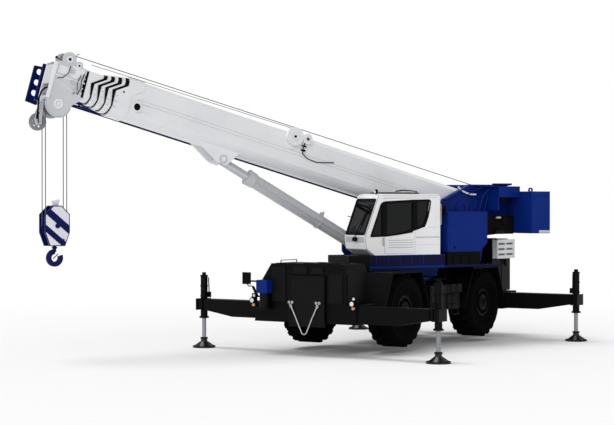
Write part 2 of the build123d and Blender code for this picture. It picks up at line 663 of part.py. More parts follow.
def lift_bracket():
    """Twin plates under the base section with the pin for the lift cylinder."""
    u, v = upper_to_boom(LIFT_EYE_X, LIFT_EYE_Z)
    low = BOOM_LOW + 110
    outline = [(u + 900, low), (u + 160, v - 110), (u - 110, v - 130), (u - 220, v), (u - 420, low)]
    body = shaft((u, -BRACKET_OUT, v), (u, BRACKET_OUT, v), LIFT_PIN_R)
    for side in (-1, 1):
        faces = sorted((side * BRACKET_IN, side * BRACKET_OUT))
        body += slab_y(outline, faces[0], faces[1])
        body += shaft((u, side * (EYE_HALF + RUN), v), (u, side * BRACKET_IN, v), LIFT_PIN_R + 30)
    return body


base = boom_section(0)
base -= shaft((0, -BOOM_HALF_W - 1, 0), (0, BOOM_HALF_W + 1, 0), FOOT_R + RUN)
base += lift_bracket() - boom_solid(BOOM_WALL / 2, -REAR_STEP, MOUTH)
node("boom_base", BOOM, base)
for index in range(1, 5):
    node("boom_section_%d" % (index + 1), BOOM, boom_section(index))

# ---------------------------------------------------------------- boom head
HEAD_FOOT = MOUTH + MOUTH_STEP * 4
GUIDE_U = 11840.0
GUIDE_V = 487.0
HEAD_Y = 215.0
HEAD_T = 37.0
SHELL_R = 325.0
SHELL_ARC = [(SHEAVE_U + SHELL_R * math.cos(math.radians(a)), SHEAVE_V + SHELL_R * math.sin(math.radians(a)))
             for a in range(10, -200, -15)]
CHEEK_HEAD = [(HEAD_FOOT, -330), (HEAD_FOOT, 370), (11520, 395), (12080, 395), (HEAD_TIP, 290),
              (HEAD_TIP, -560)] + SHELL_ARC
HUMPS = [(GUIDE_U, GUIDE_V, 178.0), (11570.0, 410.0, 105.0)]


def grooved(pitch, half_t, rope):
    """Sheave about Y with a groove that the rope lies in."""
    rim_r = pitch + rope + 4
    return turned([(45 + RUN, -half_t), (rim_r, -half_t), (pitch - rope - RUN, -rope - 1),
                   (pitch - rope - RUN, rope + 1),
                   (rim_r, half_t), (45 + RUN, half_t)])


def boom_head():
    """Closed box over the sheave housing, with the fork of the single-line sheave in front."""
    body = block(HEAD_FOOT, HEAD_FOOT + 40, -HEAD_Y, HEAD_Y, -340, 360)
    body += slab_y([(HEAD_FOOT, 340), (HEAD_FOOT, 370), (11520, 395), (11520, 365)], -HEAD_Y, HEAD_Y)
    body += block(HEAD_TIP - 30, HEAD_TIP, -HEAD_Y, HEAD_Y, -200, 270)
    for side in (-1, 1):
        body += slab_y(CHEEK_HEAD, min(side * HEAD_Y, side * (HEAD_Y + HEAD_T)),
                       max(side * HEAD_Y, side * (HEAD_Y + HEAD_T)))
        for u, v, r in HUMPS:
            body += shaft((u, side * HEAD_Y, v), (u, side * (HEAD_Y + HEAD_T), v), r)
        body += slab_y([(12150, -590), (12185, -500), (12270, -1120), (12190, -1240), (12070, -1190)],
                       min(side * 42, side * 70), max(side * 42, side * 70))
    for u, v in ((SHEAVE_U, SHEAVE_V), (GUIDE_U, GUIDE_V)):
        body += shaft((u, -HEAD_Y, v), (u, HEAD_Y, v), 45)
    body += block(12145, 12185, -HEAD_Y, HEAD_Y, -590, -500)
    body += shaft((AUX_U, -70, AUX_V), (AUX_U, 70, AUX_V), 45)
    return body


AUX_U = 12150.0
AUX_V = -1150.0
node("boom_head", BOOM, boom_head())
sheaves = []
for y in (-SHEAVE_Y, SHEAVE_Y):
    sheaves.append(Pos(SHEAVE_U, y, SHEAVE_V) * grooved(SHEAVE_PITCH, 34, ROPE_R))
sheaves.append(Pos(GUIDE_U, 0, GUIDE_V) * grooved(150, 34, ROPE_R))
single = grooved(195, 34, ROPE_R)
for i in range(6):
    single -= Rot(0, 60 * i, 0) * shaft((112, -40, 0), (112, 40, 0), 32)
sheaves.append(Pos(AUX_U, 0, AUX_V) * single)
node("head_sheaves", BOOM, *sheaves)

# ---------------------------------------------------------------- stowed lattice jib
JIB_Y0 = -1120.0
JIB_Y1 = -520.0
JIB_V0 = -330.0
JIB_V1 = 330.0
JIB_REAR = 2000.0
JIB_FRONT = 11700.0
CHORD_R = 42.0
BRACE = 42.0
JIB_BAYS = 10


BRACKET_U = (3000.0, 7400.0)
BRACKET_W = 160.0
LUG = 52.0           # half size of the square lugs on the inner chords


def jib():
    """Two side frames of round chords and zigzag braces, with the root plates at the front."""
    body = None
    for y in (JIB_Y0, JIB_Y1):
        for v in (JIB_V0, JIB_V1):
            chord = shaft((JIB_REAR, y, v), (JIB_FRONT + 100, y, v), CHORD_R)
            body = chord if body is None else body + chord
    step = (JIB_FRONT - JIB_REAR) / JIB_BAYS
    foot_gap = 45.0
    for bay in range(JIB_BAYS):
        u0 = JIB_REAR + bay * step + foot_gap
        mid = JIB_REAR + (bay + 0.5) * step
        end = JIB_REAR + (bay + 1) * step - foot_gap
        for y in (JIB_Y0, JIB_Y1):
            body += bar((u0, y, JIB_V0), (mid - foot_gap, y, JIB_V1), BRACE)
            body += bar((mid + foot_gap, y, JIB_V1), (end, y, JIB_V0), BRACE)
    for u in BRACKET_U:
        for v in (JIB_V0, JIB_V1):
            body += block(u, u + BRACKET_W, JIB_Y1 - LUG, JIB_Y1 + LUG, v - LUG, v + LUG)
    for y in (JIB_Y0, JIB_Y1):
        plate = slab_y([(JIB_FRONT, JIB_V0 - 60), (JIB_FRONT, JIB_V1 + 60), (12190, JIB_V1),
                        (12190, JIB_V0 - 250), (11900, JIB_V0 - 270)], y - 30, y + 30)
        for v in (-330, -60, 210):
            plate -= Pos(12030, y, v) * Rot(90, 0, 0) * Cylinder(75, 70)
        body += plate
    return body


def lacing():
    """Zigzag bars between the two side frames, along the top and the bottom."""
    step = (JIB_FRONT - JIB_REAR) / JIB_BAYS
    near = JIB_Y0 + CHORD_R + RUN
    far = JIB_Y1 - CHORD_R - RUN
    bars = []
    for bay in range(JIB_BAYS):
        u = JIB_REAR + (bay + 0.25) * step
        half = u + step / 2
        for v in (JIB_V0, JIB_V1):
            bars.append(slab_z([(u, near), (u + BRACE, near), (half - BRACE, far), (half - 2 * BRACE, far)],
                               v - BRACE / 2, v + BRACE / 2))
            if bay < JIB_BAYS - 1:
                bars.append(slab_z([(half, far), (half + BRACE, far), (half + step / 2 - BRACE, near),
                                    (half + step / 2 - 2 * BRACE, near)], v - BRACE / 2, v + BRACE / 2))
    return bars


node("stowed_jib", BOOM, jib(), *lacing())
# brackets that carry the jib on the base section
brackets = []
for u in BRACKET_U:
    arm = block(u, u + BRACKET_W, JIB_Y1 + LUG, -BOOM_HALF_W, -60, 260)
    arm += block(u, u + BRACKET_W, JIB_Y1 + LUG, JIB_Y1 + LUG + 30, JIB_V0 - LUG, JIB_V1 + LUG)
    brackets.append(arm)
node("jib_brackets", BOOM, *brackets)

# Cable reels on the boom's left side
reels = []
for x, z, r, t in ((3350, 5500, 230, 90), (2980, 5440, 130, 90)):
    u, v = upper_to_boom(x, z)
    reels.append(shaft((u, BOOM_HALF_W, v), (u, BOOM_HALF_W + t, v), r))
node("cable_reels", BOOM, *reels)

# ================================================================ lift cylinder
eye = Vector(LIFT_EYE_X, 0, LIFT_EYE_Z)
foot = Vector(LIFT_FOOT_X, 0, LIFT_FOOT_Z)
LIFT_LENGTH = (foot - eye).length
lift_dir = (foot - eye) / LIFT_LENGTH


def at(distance):
    p = eye + lift_dir * distance
    return (p.X, p.Y, p.Z)


rod = shaft(at(0), at(LIFT_LENGTH - 915), LIFT_ROD_R)
rod += shaft((eye.X, -EYE_HALF, eye.Z), (eye.X, EYE_HALF, eye.Z), EYE_R)
rod -= shaft((eye.X, -EYE_HALF - 1, eye.Z), (eye.X, EYE_HALF + 1, eye.Z), LIFT_PIN_R + RUN)
barrel = shaft(at(LIFT_NECK + 200), at(LIFT_LENGTH - 100), LIFT_R)
barrel += shaft(at(LIFT_NECK), at(LIFT_NECK + 200), LIFT_COLLAR_R)
barrel += shaft((foot.X, -FOOT_HALF, foot.Z), (foot.X, FOOT_HALF, foot.Z), LIFT_R - 15)
barrel -= shaft((foot.X, -FOOT_HALF - 1, foot.Z), (foot.X, FOOT_HALF + 1, foot.Z), LIFT_PIN_R)
barrel -= shaft(at(LIFT_NECK - 1), at(LIFT_LENGTH - 150 - LIFT_PIN_R / 2), LIFT_ROD_R + RUN)
node("lift_cylinder_rod", UPPER, rod)
node("lift_cylinder_barrel", UPPER, barrel)

# ================================================================ falls and hook block
sheave_x, sheave_z = boom_to_upper(SHEAVE_U, SHEAVE_V)
BLOCK_MID = (BLOCK_LOW + BLOCK_TOP) / 2
falls = []
for y in (-SHEAVE_Y, SHEAVE_Y):
    for side in (-1, 1):
        x = sheave_x + side * SHEAVE_PITCH
        falls.append(shaft((x, y, BLOCK_MID), (x, y, sheave_z), ROPE_R))
node("hoist_falls", UPPER, *falls)


def hook_block():
    """Two octagonal cheeks, the sheave pin between them and the crosshead for the hook."""
    low_cut = 190.0
    top_cut = 210.0
    x0 = sheave_x - BLOCK_HALF_X
    x1 = sheave_x + BLOCK_HALF_X
    outline = [(x0 + 120, BLOCK_LOW), (x1 - 120, BLOCK_LOW), (x1, BLOCK_LOW + low_cut * 1.7),
               (x1, BLOCK_TOP - top_cut),
               (x1 - top_cut, BLOCK_TOP), (x0 + top_cut, BLOCK_TOP), (x0, BLOCK_TOP - top_cut),
               (x0, BLOCK_LOW + low_cut * 1.7)]
    body = shaft((sheave_x, -BLOCK_HALF_Y, BLOCK_MID), (sheave_x, BLOCK_HALF_Y, BLOCK_MID), 45)
    inner = BLOCK_HALF_Y - CHEEK_PLATE
    for side in (-1, 1):
        body += slab_y(outline, min(side * BLOCK_HALF_Y, side * inner), max(side * BLOCK_HALF_Y, side * inner))
    body += block(sheave_x - 110, sheave_x + 110, -inner, inner, BLOCK_LOW, BLOCK_LOW + 130)
    body += block(sheave_x - 90, sheave_x + 90, -inner, inner, BLOCK_TOP - 60, BLOCK_TOP)
    return body


node("hook_block", UPPER, hook_block())
node("block_sheaves", UPPER, *[Pos(sheave_x, y, BLOCK_MID) * grooved(SHEAVE_PITCH, 34, ROPE_R)
                               for y in (-SHEAVE_Y, SHEAVE_Y)])
HOOK_STEM = 45.0
hook_top = BLOCK_LOW - RUN


def hook():
    """Single hook: a forged bill of trapezoid section round a point under the block."""
    bend = 150.0
    centre_z = HOOK_LOW + bend + 60
    stem = shaft((sheave_x, 0, centre_z + bend - 10), (sheave_x, 0, hook_top), HOOK_STEM)
    inner = bend - 60
    outer = bend + 60
    section = [(-30, outer), (30, outer), (56, inner + 30), (44, inner), (-44, inner), (-56, inner + 30)]
    face = make_face(Polyline(*[(sheave_x, y, centre_z + r) for y, r in section], close=True))
    bill = revolve(face, Axis((sheave_x, 0, centre_z), (0, 1, 0)), 290)
    return stem + bill


node("hook", UPPER, hook())


# ================================================================ output
def overall_shift():
    """Moves the origin to the bottom centre of the whole crane."""
    whole = None
    for solids in NODES.values():
        for solid in solids:
            box = solid.bounding_box()
            whole = box if whole is None else whole.add(box)
    return Pos(-(whole.min.X + whole.max.X) / 2, -(whole.min.Y + whole.max.Y) / 2, -whole.min.Z)


SHIFT = overall_shift()


def write_parts():
    os.makedirs("parts", exist_ok=True)
    for name, solids in NODES.items():
        moved = [SHIFT * solid for solid in solids]
        shape = moved[0] if len(moved) == 1 else Compound(children=moved)
        export_step(shape, "parts/%s.step" % name)


if __name__ == "__main__":
    write_parts()
    print("nodes", len(NODES), "origin moved by", SHIFT.position)
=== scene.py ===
import json
import math

import bmesh
import bpy
from mathutils import Matrix, Vector


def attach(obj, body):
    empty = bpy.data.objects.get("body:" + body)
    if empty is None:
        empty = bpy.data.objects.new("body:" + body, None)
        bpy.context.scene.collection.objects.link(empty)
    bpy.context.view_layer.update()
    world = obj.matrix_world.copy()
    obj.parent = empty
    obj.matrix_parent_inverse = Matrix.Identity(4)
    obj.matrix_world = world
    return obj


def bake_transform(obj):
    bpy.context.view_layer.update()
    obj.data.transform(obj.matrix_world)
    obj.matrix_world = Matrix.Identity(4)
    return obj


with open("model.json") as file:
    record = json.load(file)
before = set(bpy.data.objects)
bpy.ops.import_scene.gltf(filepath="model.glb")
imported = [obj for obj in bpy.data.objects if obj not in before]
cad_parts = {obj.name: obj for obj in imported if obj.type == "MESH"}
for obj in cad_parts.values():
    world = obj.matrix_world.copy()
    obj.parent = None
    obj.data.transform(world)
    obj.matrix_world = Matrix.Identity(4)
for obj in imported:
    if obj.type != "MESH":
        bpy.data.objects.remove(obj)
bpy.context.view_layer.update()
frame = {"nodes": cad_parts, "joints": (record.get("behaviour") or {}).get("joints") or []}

# ---------------------------------------------------------------- studio
# A white paper sweep under a soft overhead light bank. The floor is matt and keeps
# the crane's shadow; towards the back it runs into the white of the backdrop.
scene = bpy.context.scene
scene.view_settings.view_transform = "Standard"
joints = {joint["name"]: joint for joint in frame["joints"]}
swing = Vector(joints["slew"]["pos_m"])
swing_foot = Vector((swing.x, swing.y, 0))      # on the floor below the swing centre


def linear(colour):
    """An sRGB hex colour as linear RGBA."""
    parts = [int(colour[i:i + 2], 16) / 255 for i in (1, 3, 5)]
    return [c / 12.92 if c <= 0.04045 else ((c + 0.055) / 1.055) ** 2.4 for c in parts] + [1.0]


def add(tree, kind, settings=None, links=None):
    """One shader node with its settings and the sockets that feed it."""
    made = tree.nodes.new("ShaderNode" + kind)
    for name, value in (settings or {}).items():
        if isinstance(name, int) or name in made.inputs:
            made.inputs[name].default_value = value
        else:
            setattr(made, name, value)
    for name, source in (links or {}).items():
        tree.links.new(source, made.inputs[name])
    return made


PAPER = "#f4f4f5"
FLOOR_HALF = 120.0
FADE_FROM = 6.5      # metres from the crane's middle where the paper starts to burn out
FADE_TO = 24.0
paper = bpy.data.materials.new("matt_studio_paper")
paper.use_nodes = True
tree = paper.node_tree
tree.nodes.clear()
place = add(tree, "NewGeometry")
away = add(tree, "VectorMath", {"operation": "LENGTH"}, {0: place.outputs["Position"]})
fade = add(tree, "MapRange", {"From Min": FADE_FROM, "From Max": FADE_TO, "To Min": 0.04, "To Max": 1.0},
           {"Value": away.outputs["Value"]})
ray = add(tree, "LightPath")
seen = add(tree, "Math", {"operation": "MULTIPLY"},
           {0: fade.outputs["Result"], 1: ray.outputs["Is Camera Ray"]})
matt = add(tree, "BsdfDiffuse", {"Color": linear(PAPER)})
burnt = add(tree, "Emission", {"Color": (1, 1, 1, 1), "Strength": 1.0})
both = add(tree, "MixShader", {},
           {0: seen.outputs["Value"], 1: matt.outputs["BSDF"], 2: burnt.outputs["Emission"]})
add(tree, "OutputMaterial", {}, {"Surface": both.outputs["Shader"]})

floor_mesh = bpy.data.meshes.new("studio_floor")
floor_mesh.from_pydata([(-FLOOR_HALF, -FLOOR_HALF, 0), (FLOOR_HALF, -FLOOR_HALF, 0),
                        (FLOOR_HALF, FLOOR_HALF, 0), (-FLOOR_HALF, FLOOR_HALF, 0)], [], [(0, 1, 2, 3)])
floor_mesh.materials.append(paper)
studio_floor = bpy.data.objects.new("studio_floor", floor_mesh)
scene.collection.objects.link(studio_floor)

world = bpy.data.worlds.new("studio_light")
scene.world = world
world.use_nodes = True
tree = world.node_tree
tree.nodes.clear()
SKY_LIGHT = 0.44     # light from all round
ray = add(tree, "LightPath")
direct = add(tree, "Math", {"operation": "MAXIMUM"},
             {0: ray.outputs["Is Camera Ray"], 1: ray.outputs["Is Transmission Ray"]})
sky = add(tree, "MapRange", {"To Min": SKY_LIGHT, "To Max": 1.0}, {"Value": direct.outputs["Value"]})
glow = add(tree, "Background", {"Color": (1, 1, 1, 1)}, {"Strength": sky.outputs["Result"]})
add(tree, "OutputWorld", {}, {"Surface": glow.outputs["Background"]})

# lamps: (name, watts per square metre of sun, angle in degrees, direction that the light travels)
for name, strength, angle, heading in (("overhead_bank", 1.55, 34, (-0.15, 0.30, -1.0)),
                                       ("side_fill", 1.05, 45, (-0.9, -0.35, -0.45))):
    lamp = bpy.data.lights.new(name, "SUN")
    lamp.energy = strength
    lamp.angle = math.radians(angle)
    lamp_object = bpy.data.objects.new(name, lamp)
    lamp_object.rotation_euler = Vector(heading).to_track_quat("-Z", "Y").to_euler()
    scene.collection.objects.link(lamp_object)

# The camera stands 45 m off and 3.8 m up, to the front left of the carrier, with a long lens
CAMERA_AT = Vector((38.643, 22.83, 3.762))
CAMERA_HEADING = 33.597      # degrees round from the carrier's front
CAMERA_DIP = 0.285           # degrees below level
camera = bpy.data.cameras.new("camera")
camera.lens = 97.67
camera.clip_end = 400.0
camera_object = bpy.data.objects.new("camera", camera)
heading = math.radians(CAMERA_HEADING)
dip = math.radians(CAMERA_DIP)
look = Vector((-math.cos(heading) * math.cos(dip), -math.sin(heading) * math.cos(dip), -math.sin(dip)))
camera_object.location = CAMERA_AT + swing_foot
camera_object.rotation_euler = look.to_track_quat("-Z", "Y").to_euler()
scene.collection.objects.link(camera_object)
scene.camera = camera_object

# ---------------------------------------------------------------- base boom section
# Welded high-strength plate, flat sides over a rounded belly, sprayed with white
# two-pack enamel: an even, fairly glossy coat with a faint orange peel.
foot_pin = Vector(joints["boom_luff"]["pos_m"])
boom_way = Vector(joints["telescope_2"]["axis"]).normalized()
left_way = -Vector(joints["boom_luff"]["axis"]).normalized()


def working_frame(along, left, origin):
    """Matrix that takes (along, left, up) coordinates to the crane's own."""
    turn = Matrix((along, left, along.cross(left))).transposed()
    return Matrix.Translation(origin) @ turn.to_4x4()


BOOM = working_frame(boom_way, left_way, foot_pin)
UPPER = working_frame(Vector((boom_way.x, boom_way.y, 0)).normalized(), left_way, swing_foot)
CARRIER = Matrix.Translation(swing_foot)


def span(node_name, axes):
    """Lowest and highest corner of a CAD node, measured along the axes of a working frame."""
    back = axes.inverted()
    points = [back @ vertex.co for vertex in frame["nodes"][node_name].data.vertices]
    low = Vector([min(p[k] for p in points) for k in range(3)])
    high = Vector([max(p[k] for p in points) for k in range(3)])
    return low, high


def slab(outline, low, high, across):
    """A flat outline in the two other axes, made solid from low to high along one axis."""
    ring = len(outline)
    points = []
    for level in (low, high):
        for a, b in outline:
            points.append({"x": (level, a, b), "y": (a, level, b), "z": (a, b, level)}[across])
    faces = [tuple(range(ring)), tuple(range(2 * ring - 1, ring - 1, -1))]
    faces += [(i, (i + 1) % ring, (i + 1) % ring + ring, i + ring) for i in range(ring)]
    return points, faces


def plate(outline, face, thick, across="y"):
    """A flat outline laid on a face; the thickness is negative where it stands out the other way."""
    return slab(outline, face, face + thick, across)


def brick(one, other):
    """Rectangular bar between two opposite corners; the two Y may come in either order."""
    x0, y0, z0 = one
    x1, y1, z1 = other
    return slab([(x0, z0), (x1, z0), (x1, z1), (x0, z1)], min(y0, y1), max(y0, y1), "y")


def tube(path, radius, sides=8):
    """Round bar, pipe or hose through the points of a path."""
    path = [Vector(p) for p in path]
    points = []
    side = None
    for i, p in enumerate(path):
        before = (p - path[i - 1]).normalized() if i else None
        after = (path[i + 1] - p).normalized() if i < len(path) - 1 else None
        run = (before + after).normalized() if before and after else (before or after)
        side = run.orthogonal().normalized() if side is None else (side - run * side.dot(run)).normalized()
        other = run.cross(side)
        for s in range(sides):
            turn = 2 * math.pi * s / sides
            points.append(p + (side * math.cos(turn) + other * math.sin(turn)) * radius)
    faces = [tuple(range(sides)), tuple(range(len(points) - 1, len(points) - sides - 1, -1))]
    for i in range(len(path) - 1):
        for s in range(sides):
            t = (s + 1) % sides
            faces.append((i * sides + s, i * sides + t, (i + 1) * sides + t, (i + 1) * sides + s))
    return points, faces


def turned(profile, centre, axis, steps=28):
    """Closed outline of (radius, along) pairs turned round an axis through a centre."""
    centre = Vector(centre)
    axis = Vector(axis).normalized()
    side = axis.orthogonal().normalized()
    other = axis.cross(side)
    points = []
    index = {}
    for s in range(steps):
        turn = 2 * math.pi * s / steps
        out = side * math.cos(turn) + other * math.sin(turn)
        for k, (radius, along) in enumerate(profile):
            if radius < 1e-6 and s:
                index[s, k] = index[0, k]
                continue
            index[s, k] = len(points)
            points.append(centre + axis * along + out * radius)
    faces = []
    for s in range(steps):
        t = (s + 1) % steps
        for k in range(len(profile)):
            m = (k + 1) % len(profile)
            corners = [index[s, k], index[s, m], index[t, m], index[t, k]]
            kept = [c for i, c in enumerate(corners) if c not in corners[:i]]
            if len(kept) > 2:
                faces.append(tuple(kept))
    return points, faces


def disc(radius, thick, centre, axis, steps=24):
    """Round plate or pin standing on a centre."""
    return turned([(0, 0), (radius, 0), (radius, thick), (0, thick)], centre, axis, steps)


def ring(inner, outer, thick, centre, axis, steps=28):
    """Washer, collar or flange standing on a centre."""
    return turned([(inner, 0), (outer, 0), (outer, thick), (inner, thick)], centre, axis, steps)


def bolts(centres, axis, across=0.05, tall=0.03):
    """Hexagon heads at a list of places."""
    return [disc(across / 2, tall, centre, axis, 6) for centre in centres]


def piece(name, axes, shapes, finish, body, edge=0.0):
    """One object joined from shapes given in a working frame.

    It rides on a body, unless that is left empty; then it rides on none.
    """
    points = []
    faces = []
    for own_points, own_faces in shapes:
        start = len(points)
        points += [axes @ Vector(p) for p in own_points]
        faces += [tuple(start + i for i in face) for face in own_faces]
    mesh = bpy.data.meshes.new(name)
    mesh.from_pydata(points, [], faces)
    shape = bmesh.new()
    shape.from_mesh(mesh)
    bmesh.ops.recalc_face_normals(shape, faces=shape.faces)
    shape.to_mesh(mesh)
    shape.free()
    mesh.polygons.foreach_set("use_smooth", [True] * len(mesh.polygons))
    mesh.set_sharp_from_angle(angle=math.radians(32))
    mesh.materials.append(finish)
    made = bpy.data.objects.new(name, mesh)
    scene.collection.objects.link(made)
    if edge:
        rounding = made.modifiers.new("rounded_edges", "BEVEL")
        rounding.width = edge
        rounding.segments = 2
        rounding.limit_method = "ANGLE"
        rounding.harden_normals = True
    if body:
        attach(made, body)
    return made


def set_inputs(node, values):
    for name, value in values.items():
        node.inputs[name].default_value = value


def sprayed(name, colour, worn, roughness, coat=0.0, metallic=0.0, specular=0.5):
    """Sprayed or rolled coat over steel: slight drift of colour over metres, orange peel close up."""
    made = bpy.data.materials.new(name)
    made.use_nodes = True
    tree = made.node_tree
    shader = tree.nodes["Principled BSDF"]
    set_inputs(shader,
               {"Roughness": roughness, "Metallic": metallic, "Specular IOR Level": specular,
                "Coat Weight": coat, "Coat Roughness": 0.12})
    where = add(tree, "TexCoord")
    drift_mm = 1400      # a panel's width
    drift = add(tree, "TexNoise", {"Scale": 1000 / drift_mm, "Detail": 4.0, "Roughness": 0.6},
                {"Vector": where.outputs["Object"]})
    share = add(tree, "MapRange", {"From Min": 0.35, "From Max": 0.75}, {"Value": drift.outputs["Fac"]})
    tint = add(tree, "Mix", {"data_type": "RGBA", 6: linear(colour), 7: linear(worn)},
               {"Factor": share.outputs["Result"]})
    tree.links.new(tint.outputs[2], shader.inputs["Base Color"])
    peel_mm = 28         # real orange peel is 2 to 3 mm across, drawn coarse enough to catch the light
    peel = add(tree, "TexNoise", {"Scale": 1000 / peel_mm, "Detail": 1.0},
               {"Vector": where.outputs["Object"]})
    lift = add(tree, "Bump", {"Strength": 0.06, "Distance": 0.002}, {"Height": peel.outputs["Fac"]})
    tree.links.new(lift.outputs["Normal"], shader.inputs["Normal"])
    return made


def finish_nodes(material, *names):
    """Gives CAD nodes their finish."""
    for name in names:
        slots = frame["nodes"][name].data.materials
        slots.clear()
        slots.append(material)


white_enamel = sprayed("white_two_pack_enamel", "#e9eaec", "#dfe1e4", 0.32, 0.25)
finish_nodes(white_enamel, "boom_base")
SIDE = 0.380         # half width of the base section
X = Vector((1, 0, 0))
Y = Vector((0, 1, 0))
Z = Vector((0, 0, 1))
SEAMS = (0.060, -0.020)          # heights of the long weld seams on the side plates
REEL_LARGE = (5.515, 0.417)      # (along the boom, up) of the two cable reels
REEL_SMALL = (5.142, 0.456)
grey_steel = sprayed("light_grey_enamel", "#c4c6c9", "#b4b7bb", 0.38, 0.15)
# real black rubber, and also the black of the painted shade bands at the boom mouths and behind the head
black_rubber_and_shade = sprayed("black_moulded_rubber", "#060607", "#0a0a0b", 0.62, specular=0.08)
# painted shade: grey strips along the weld seams stand for the dark lines the seams show on the white side
seam_shade_strips = []
for side in (-1, 1):
    for v in SEAMS:
        seam_shade_strips.append(brick((0.75, side * SIDE, v - 0.005), (9.95, side * (SIDE + 0.004), v + 0.005)))
piece("boom_side_seam_shade", BOOM, seam_shade_strips, grey_steel, "boom")
bosses = []
caps = []
for side in (-1, 1):
    out = side * Y
    bosses += [ring(0.088, 0.135, 0.045, (9.93, side * SIDE, -0.13), out, 32),
               plate([(9.6, -0.05), (9.8, -0.05), (9.86, -0.2), (9.6, -0.2)], side * SIDE, side * 0.02)]
    caps += [disc(0.088, 0.022, (9.93, side * SIDE, -0.13), out, 32),
             disc(0.024, 0.03, (10.36, side * SIDE, 0.12), out, 16)]
piece("boom_pin_bosses", BOOM, bosses, white_enamel, "boom", 0.004)
piece("boom_pin_caps", BOOM, caps, black_rubber_and_shade, "boom")

# cable reels: flanges, hubs and the arms that hold them off the side plate
finish_nodes(white_enamel, "cable_reels")
flanges = []
hubs = []
for (u, v), radius in ((REEL_LARGE, 0.230), (REEL_SMALL, 0.130)):
    flanges += [ring(radius - 0.035, radius + 0.008, 0.014, (u, SIDE + 0.086, v), Y, 36),
                ring(radius * 0.42, radius * 0.52, 0.02, (u, SIDE + 0.088, v), Y, 28)]
    for i in range(6):
        turn = math.pi * i / 3
        reach = Vector((math.cos(turn), 0, math.sin(turn)))
        start = Vector((u, SIDE + 0.092, v))
        flanges.append(tube([start + reach * radius * 0.5, start + reach * (radius - 0.02)], 0.010, 6))
    hubs.append(disc(0.032, 0.03, (u, SIDE + 0.085, v), Y, 16))
    flanges.append(brick((u - 0.06, SIDE, v - radius - 0.10), (u + 0.06, SIDE + 0.03, v)))
piece("reel_flanges", BOOM, flanges, white_enamel, "boom", 0.003)
piece("reel_hubs", BOOM, hubs, black_rubber_and_shade, "boom")
u, v = REEL_SMALL
loop = [(u + 0.03, SIDE + 0.05, v - 0.12), (u + 0.05, SIDE + 0.04, v - 0.24),
        (u + 0.02, SIDE + 0.03, v - 0.40), (u - 0.16, SIDE + 0.02, v - 0.48),
        (u - 0.42, SIDE + 0.018, v - 0.50), (u - 0.68, SIDE + 0.018, v - 0.44),
        (u - 0.95, SIDE + 0.016, v - 0.36)]
bracket = [brick((u - 0.02, SIDE, v - 0.33), (u + 0.08, SIDE + 0.07, v - 0.29)),
           brick((u - 0.02, SIDE, v - 0.22), (u + 0.08, SIDE + 0.07, v - 0.18))]
piece("reel_cable_loop", BOOM, [tube(loop, 0.012)] + bracket, black_rubber_and_shade, "boom")

# ---------------------------------------------------------------- telescopic sections
# Four inner boxes in the same white. Each mouth carries a black band, painted shade for the
# shaded gap between sections; its upper half is set back, so the eye reads a dark zigzag between white
# collars.
finish_nodes(white_enamel, "boom_section_2", "boom_section_3", "boom_section_4", "boom_section_5")
SECTIONS = ("boom", "section_2", "section_3", "section_4", "section_5")
MOUTH = 10.550       # front end of the base section; each inner one stands out by the step
MOUTH_STEP = 0.180
MOUTH_BACK = 0.290   # the upper half of a mouth is set back by this
STEP_IN = 0.032      # each section is smaller by this all round
SHADE_BAND_PROUD = 0.012
SHADE_BAND_WIDE = 0.095      # on the upper half; the belly shows only a thin line of it
SHADE_BAND_THIN = 0.030


def boom_profile(inset):
    """Points round a boom section, from the belly's right edge over the top and back along the belly."""
    w = SIDE - inset
    top = 0.507 - inset
    corner = 0.095 - 0.586 * inset
    arc = 0.430 - inset
    centre = -0.076
    turn = centre - math.sqrt(arc ** 2 - w ** 2)
    right = [(-w, turn), (-w, 0.10), (-w, 0.30), (-w, top - corner), (-w + corner, top)]
    left = [(-y, z) for y, z in reversed(right)]
    low = math.acos(w / arc)
    belly = []
    for i in range(1, 12):
        a = -low - (math.pi - 2 * low) * i / 12
        belly.append((arc * math.cos(a), centre + arc * math.sin(a)))
    return right + left + belly


def mouth_line(v):
    """Offset of a mouth's edge along the boom at a height; the upper half is set back."""
    return -MOUTH_BACK * min(max((v - 0.10) / 0.20, 0.0), 1.0)


def shade_band_width(v):
    """Length of the black band of painted shade along the boom at a height."""
    return SHADE_BAND_THIN + (SHADE_BAND_WIDE - SHADE_BAND_THIN) * min(max((v + 0.20) / 0.35, 0.0), 1.0)


def sleeve(inset, thick, start):
    """Band round a boom section that follows the stepped line of a mouth and thins out below."""
    outer = boom_profile(inset - thick)
    inner = boom_profile(inset)
    count = len(outer)
    points = []
    for shape, share in ((outer, 0.0), (outer, 1.0), (inner, 1.0), (inner, 0.0)):
        points += [(start + mouth_line(v) + shade_band_width(v) * share, y, v) for y, v in shape]
    faces = []
    for band in range(4):
        a = band * count
        b = (band + 1) % 4 * count
        faces += [(a + i, a + (i + 1) % count, b + (i + 1) % count, b + i) for i in range(count)]
    return points, faces


for i in range(4):
    start = MOUTH + MOUTH_STEP * i
    # painted shade: a black band for the shaded gap at this mouth
    piece("mouth_gap_shade_ring_%d" % (i + 1), BOOM, [sleeve(STEP_IN * (i + 1) - 0.001, SHADE_BAND_PROUD, start)],
          black_rubber_and_shade, SECTIONS[i])
    studs = []
    for side in (-1, 1):
        y = side * (SIDE - STEP_IN * i + 0.014 + (0.012 if i == 0 else 0))
        studs += bolts([(start - 0.04, y, v) for v in (-0.30, -0.16, -0.02)], side * Y, 0.034, 0.014)
    piece("mouth_bolts_%d" % (i + 1), BOOM, studs, grey_steel, SECTIONS[i])

# ---------------------------------------------------------------- hoist rope along the boom
# Greased steel wire rope: dull grey with a fine lay, straight as a taut rope is.
rope_steel = sprayed("greased_wire_rope", "#6d6f73", "#54565a", 0.45, 0.0, 0.6)
finish_nodes(rope_steel, "hoist_falls")
WINCH_TOP = (-0.961, 0.799)      # where the rope leaves the winch, in (along the boom, up)
GUIDE_TOP = (11.84, 0.650)


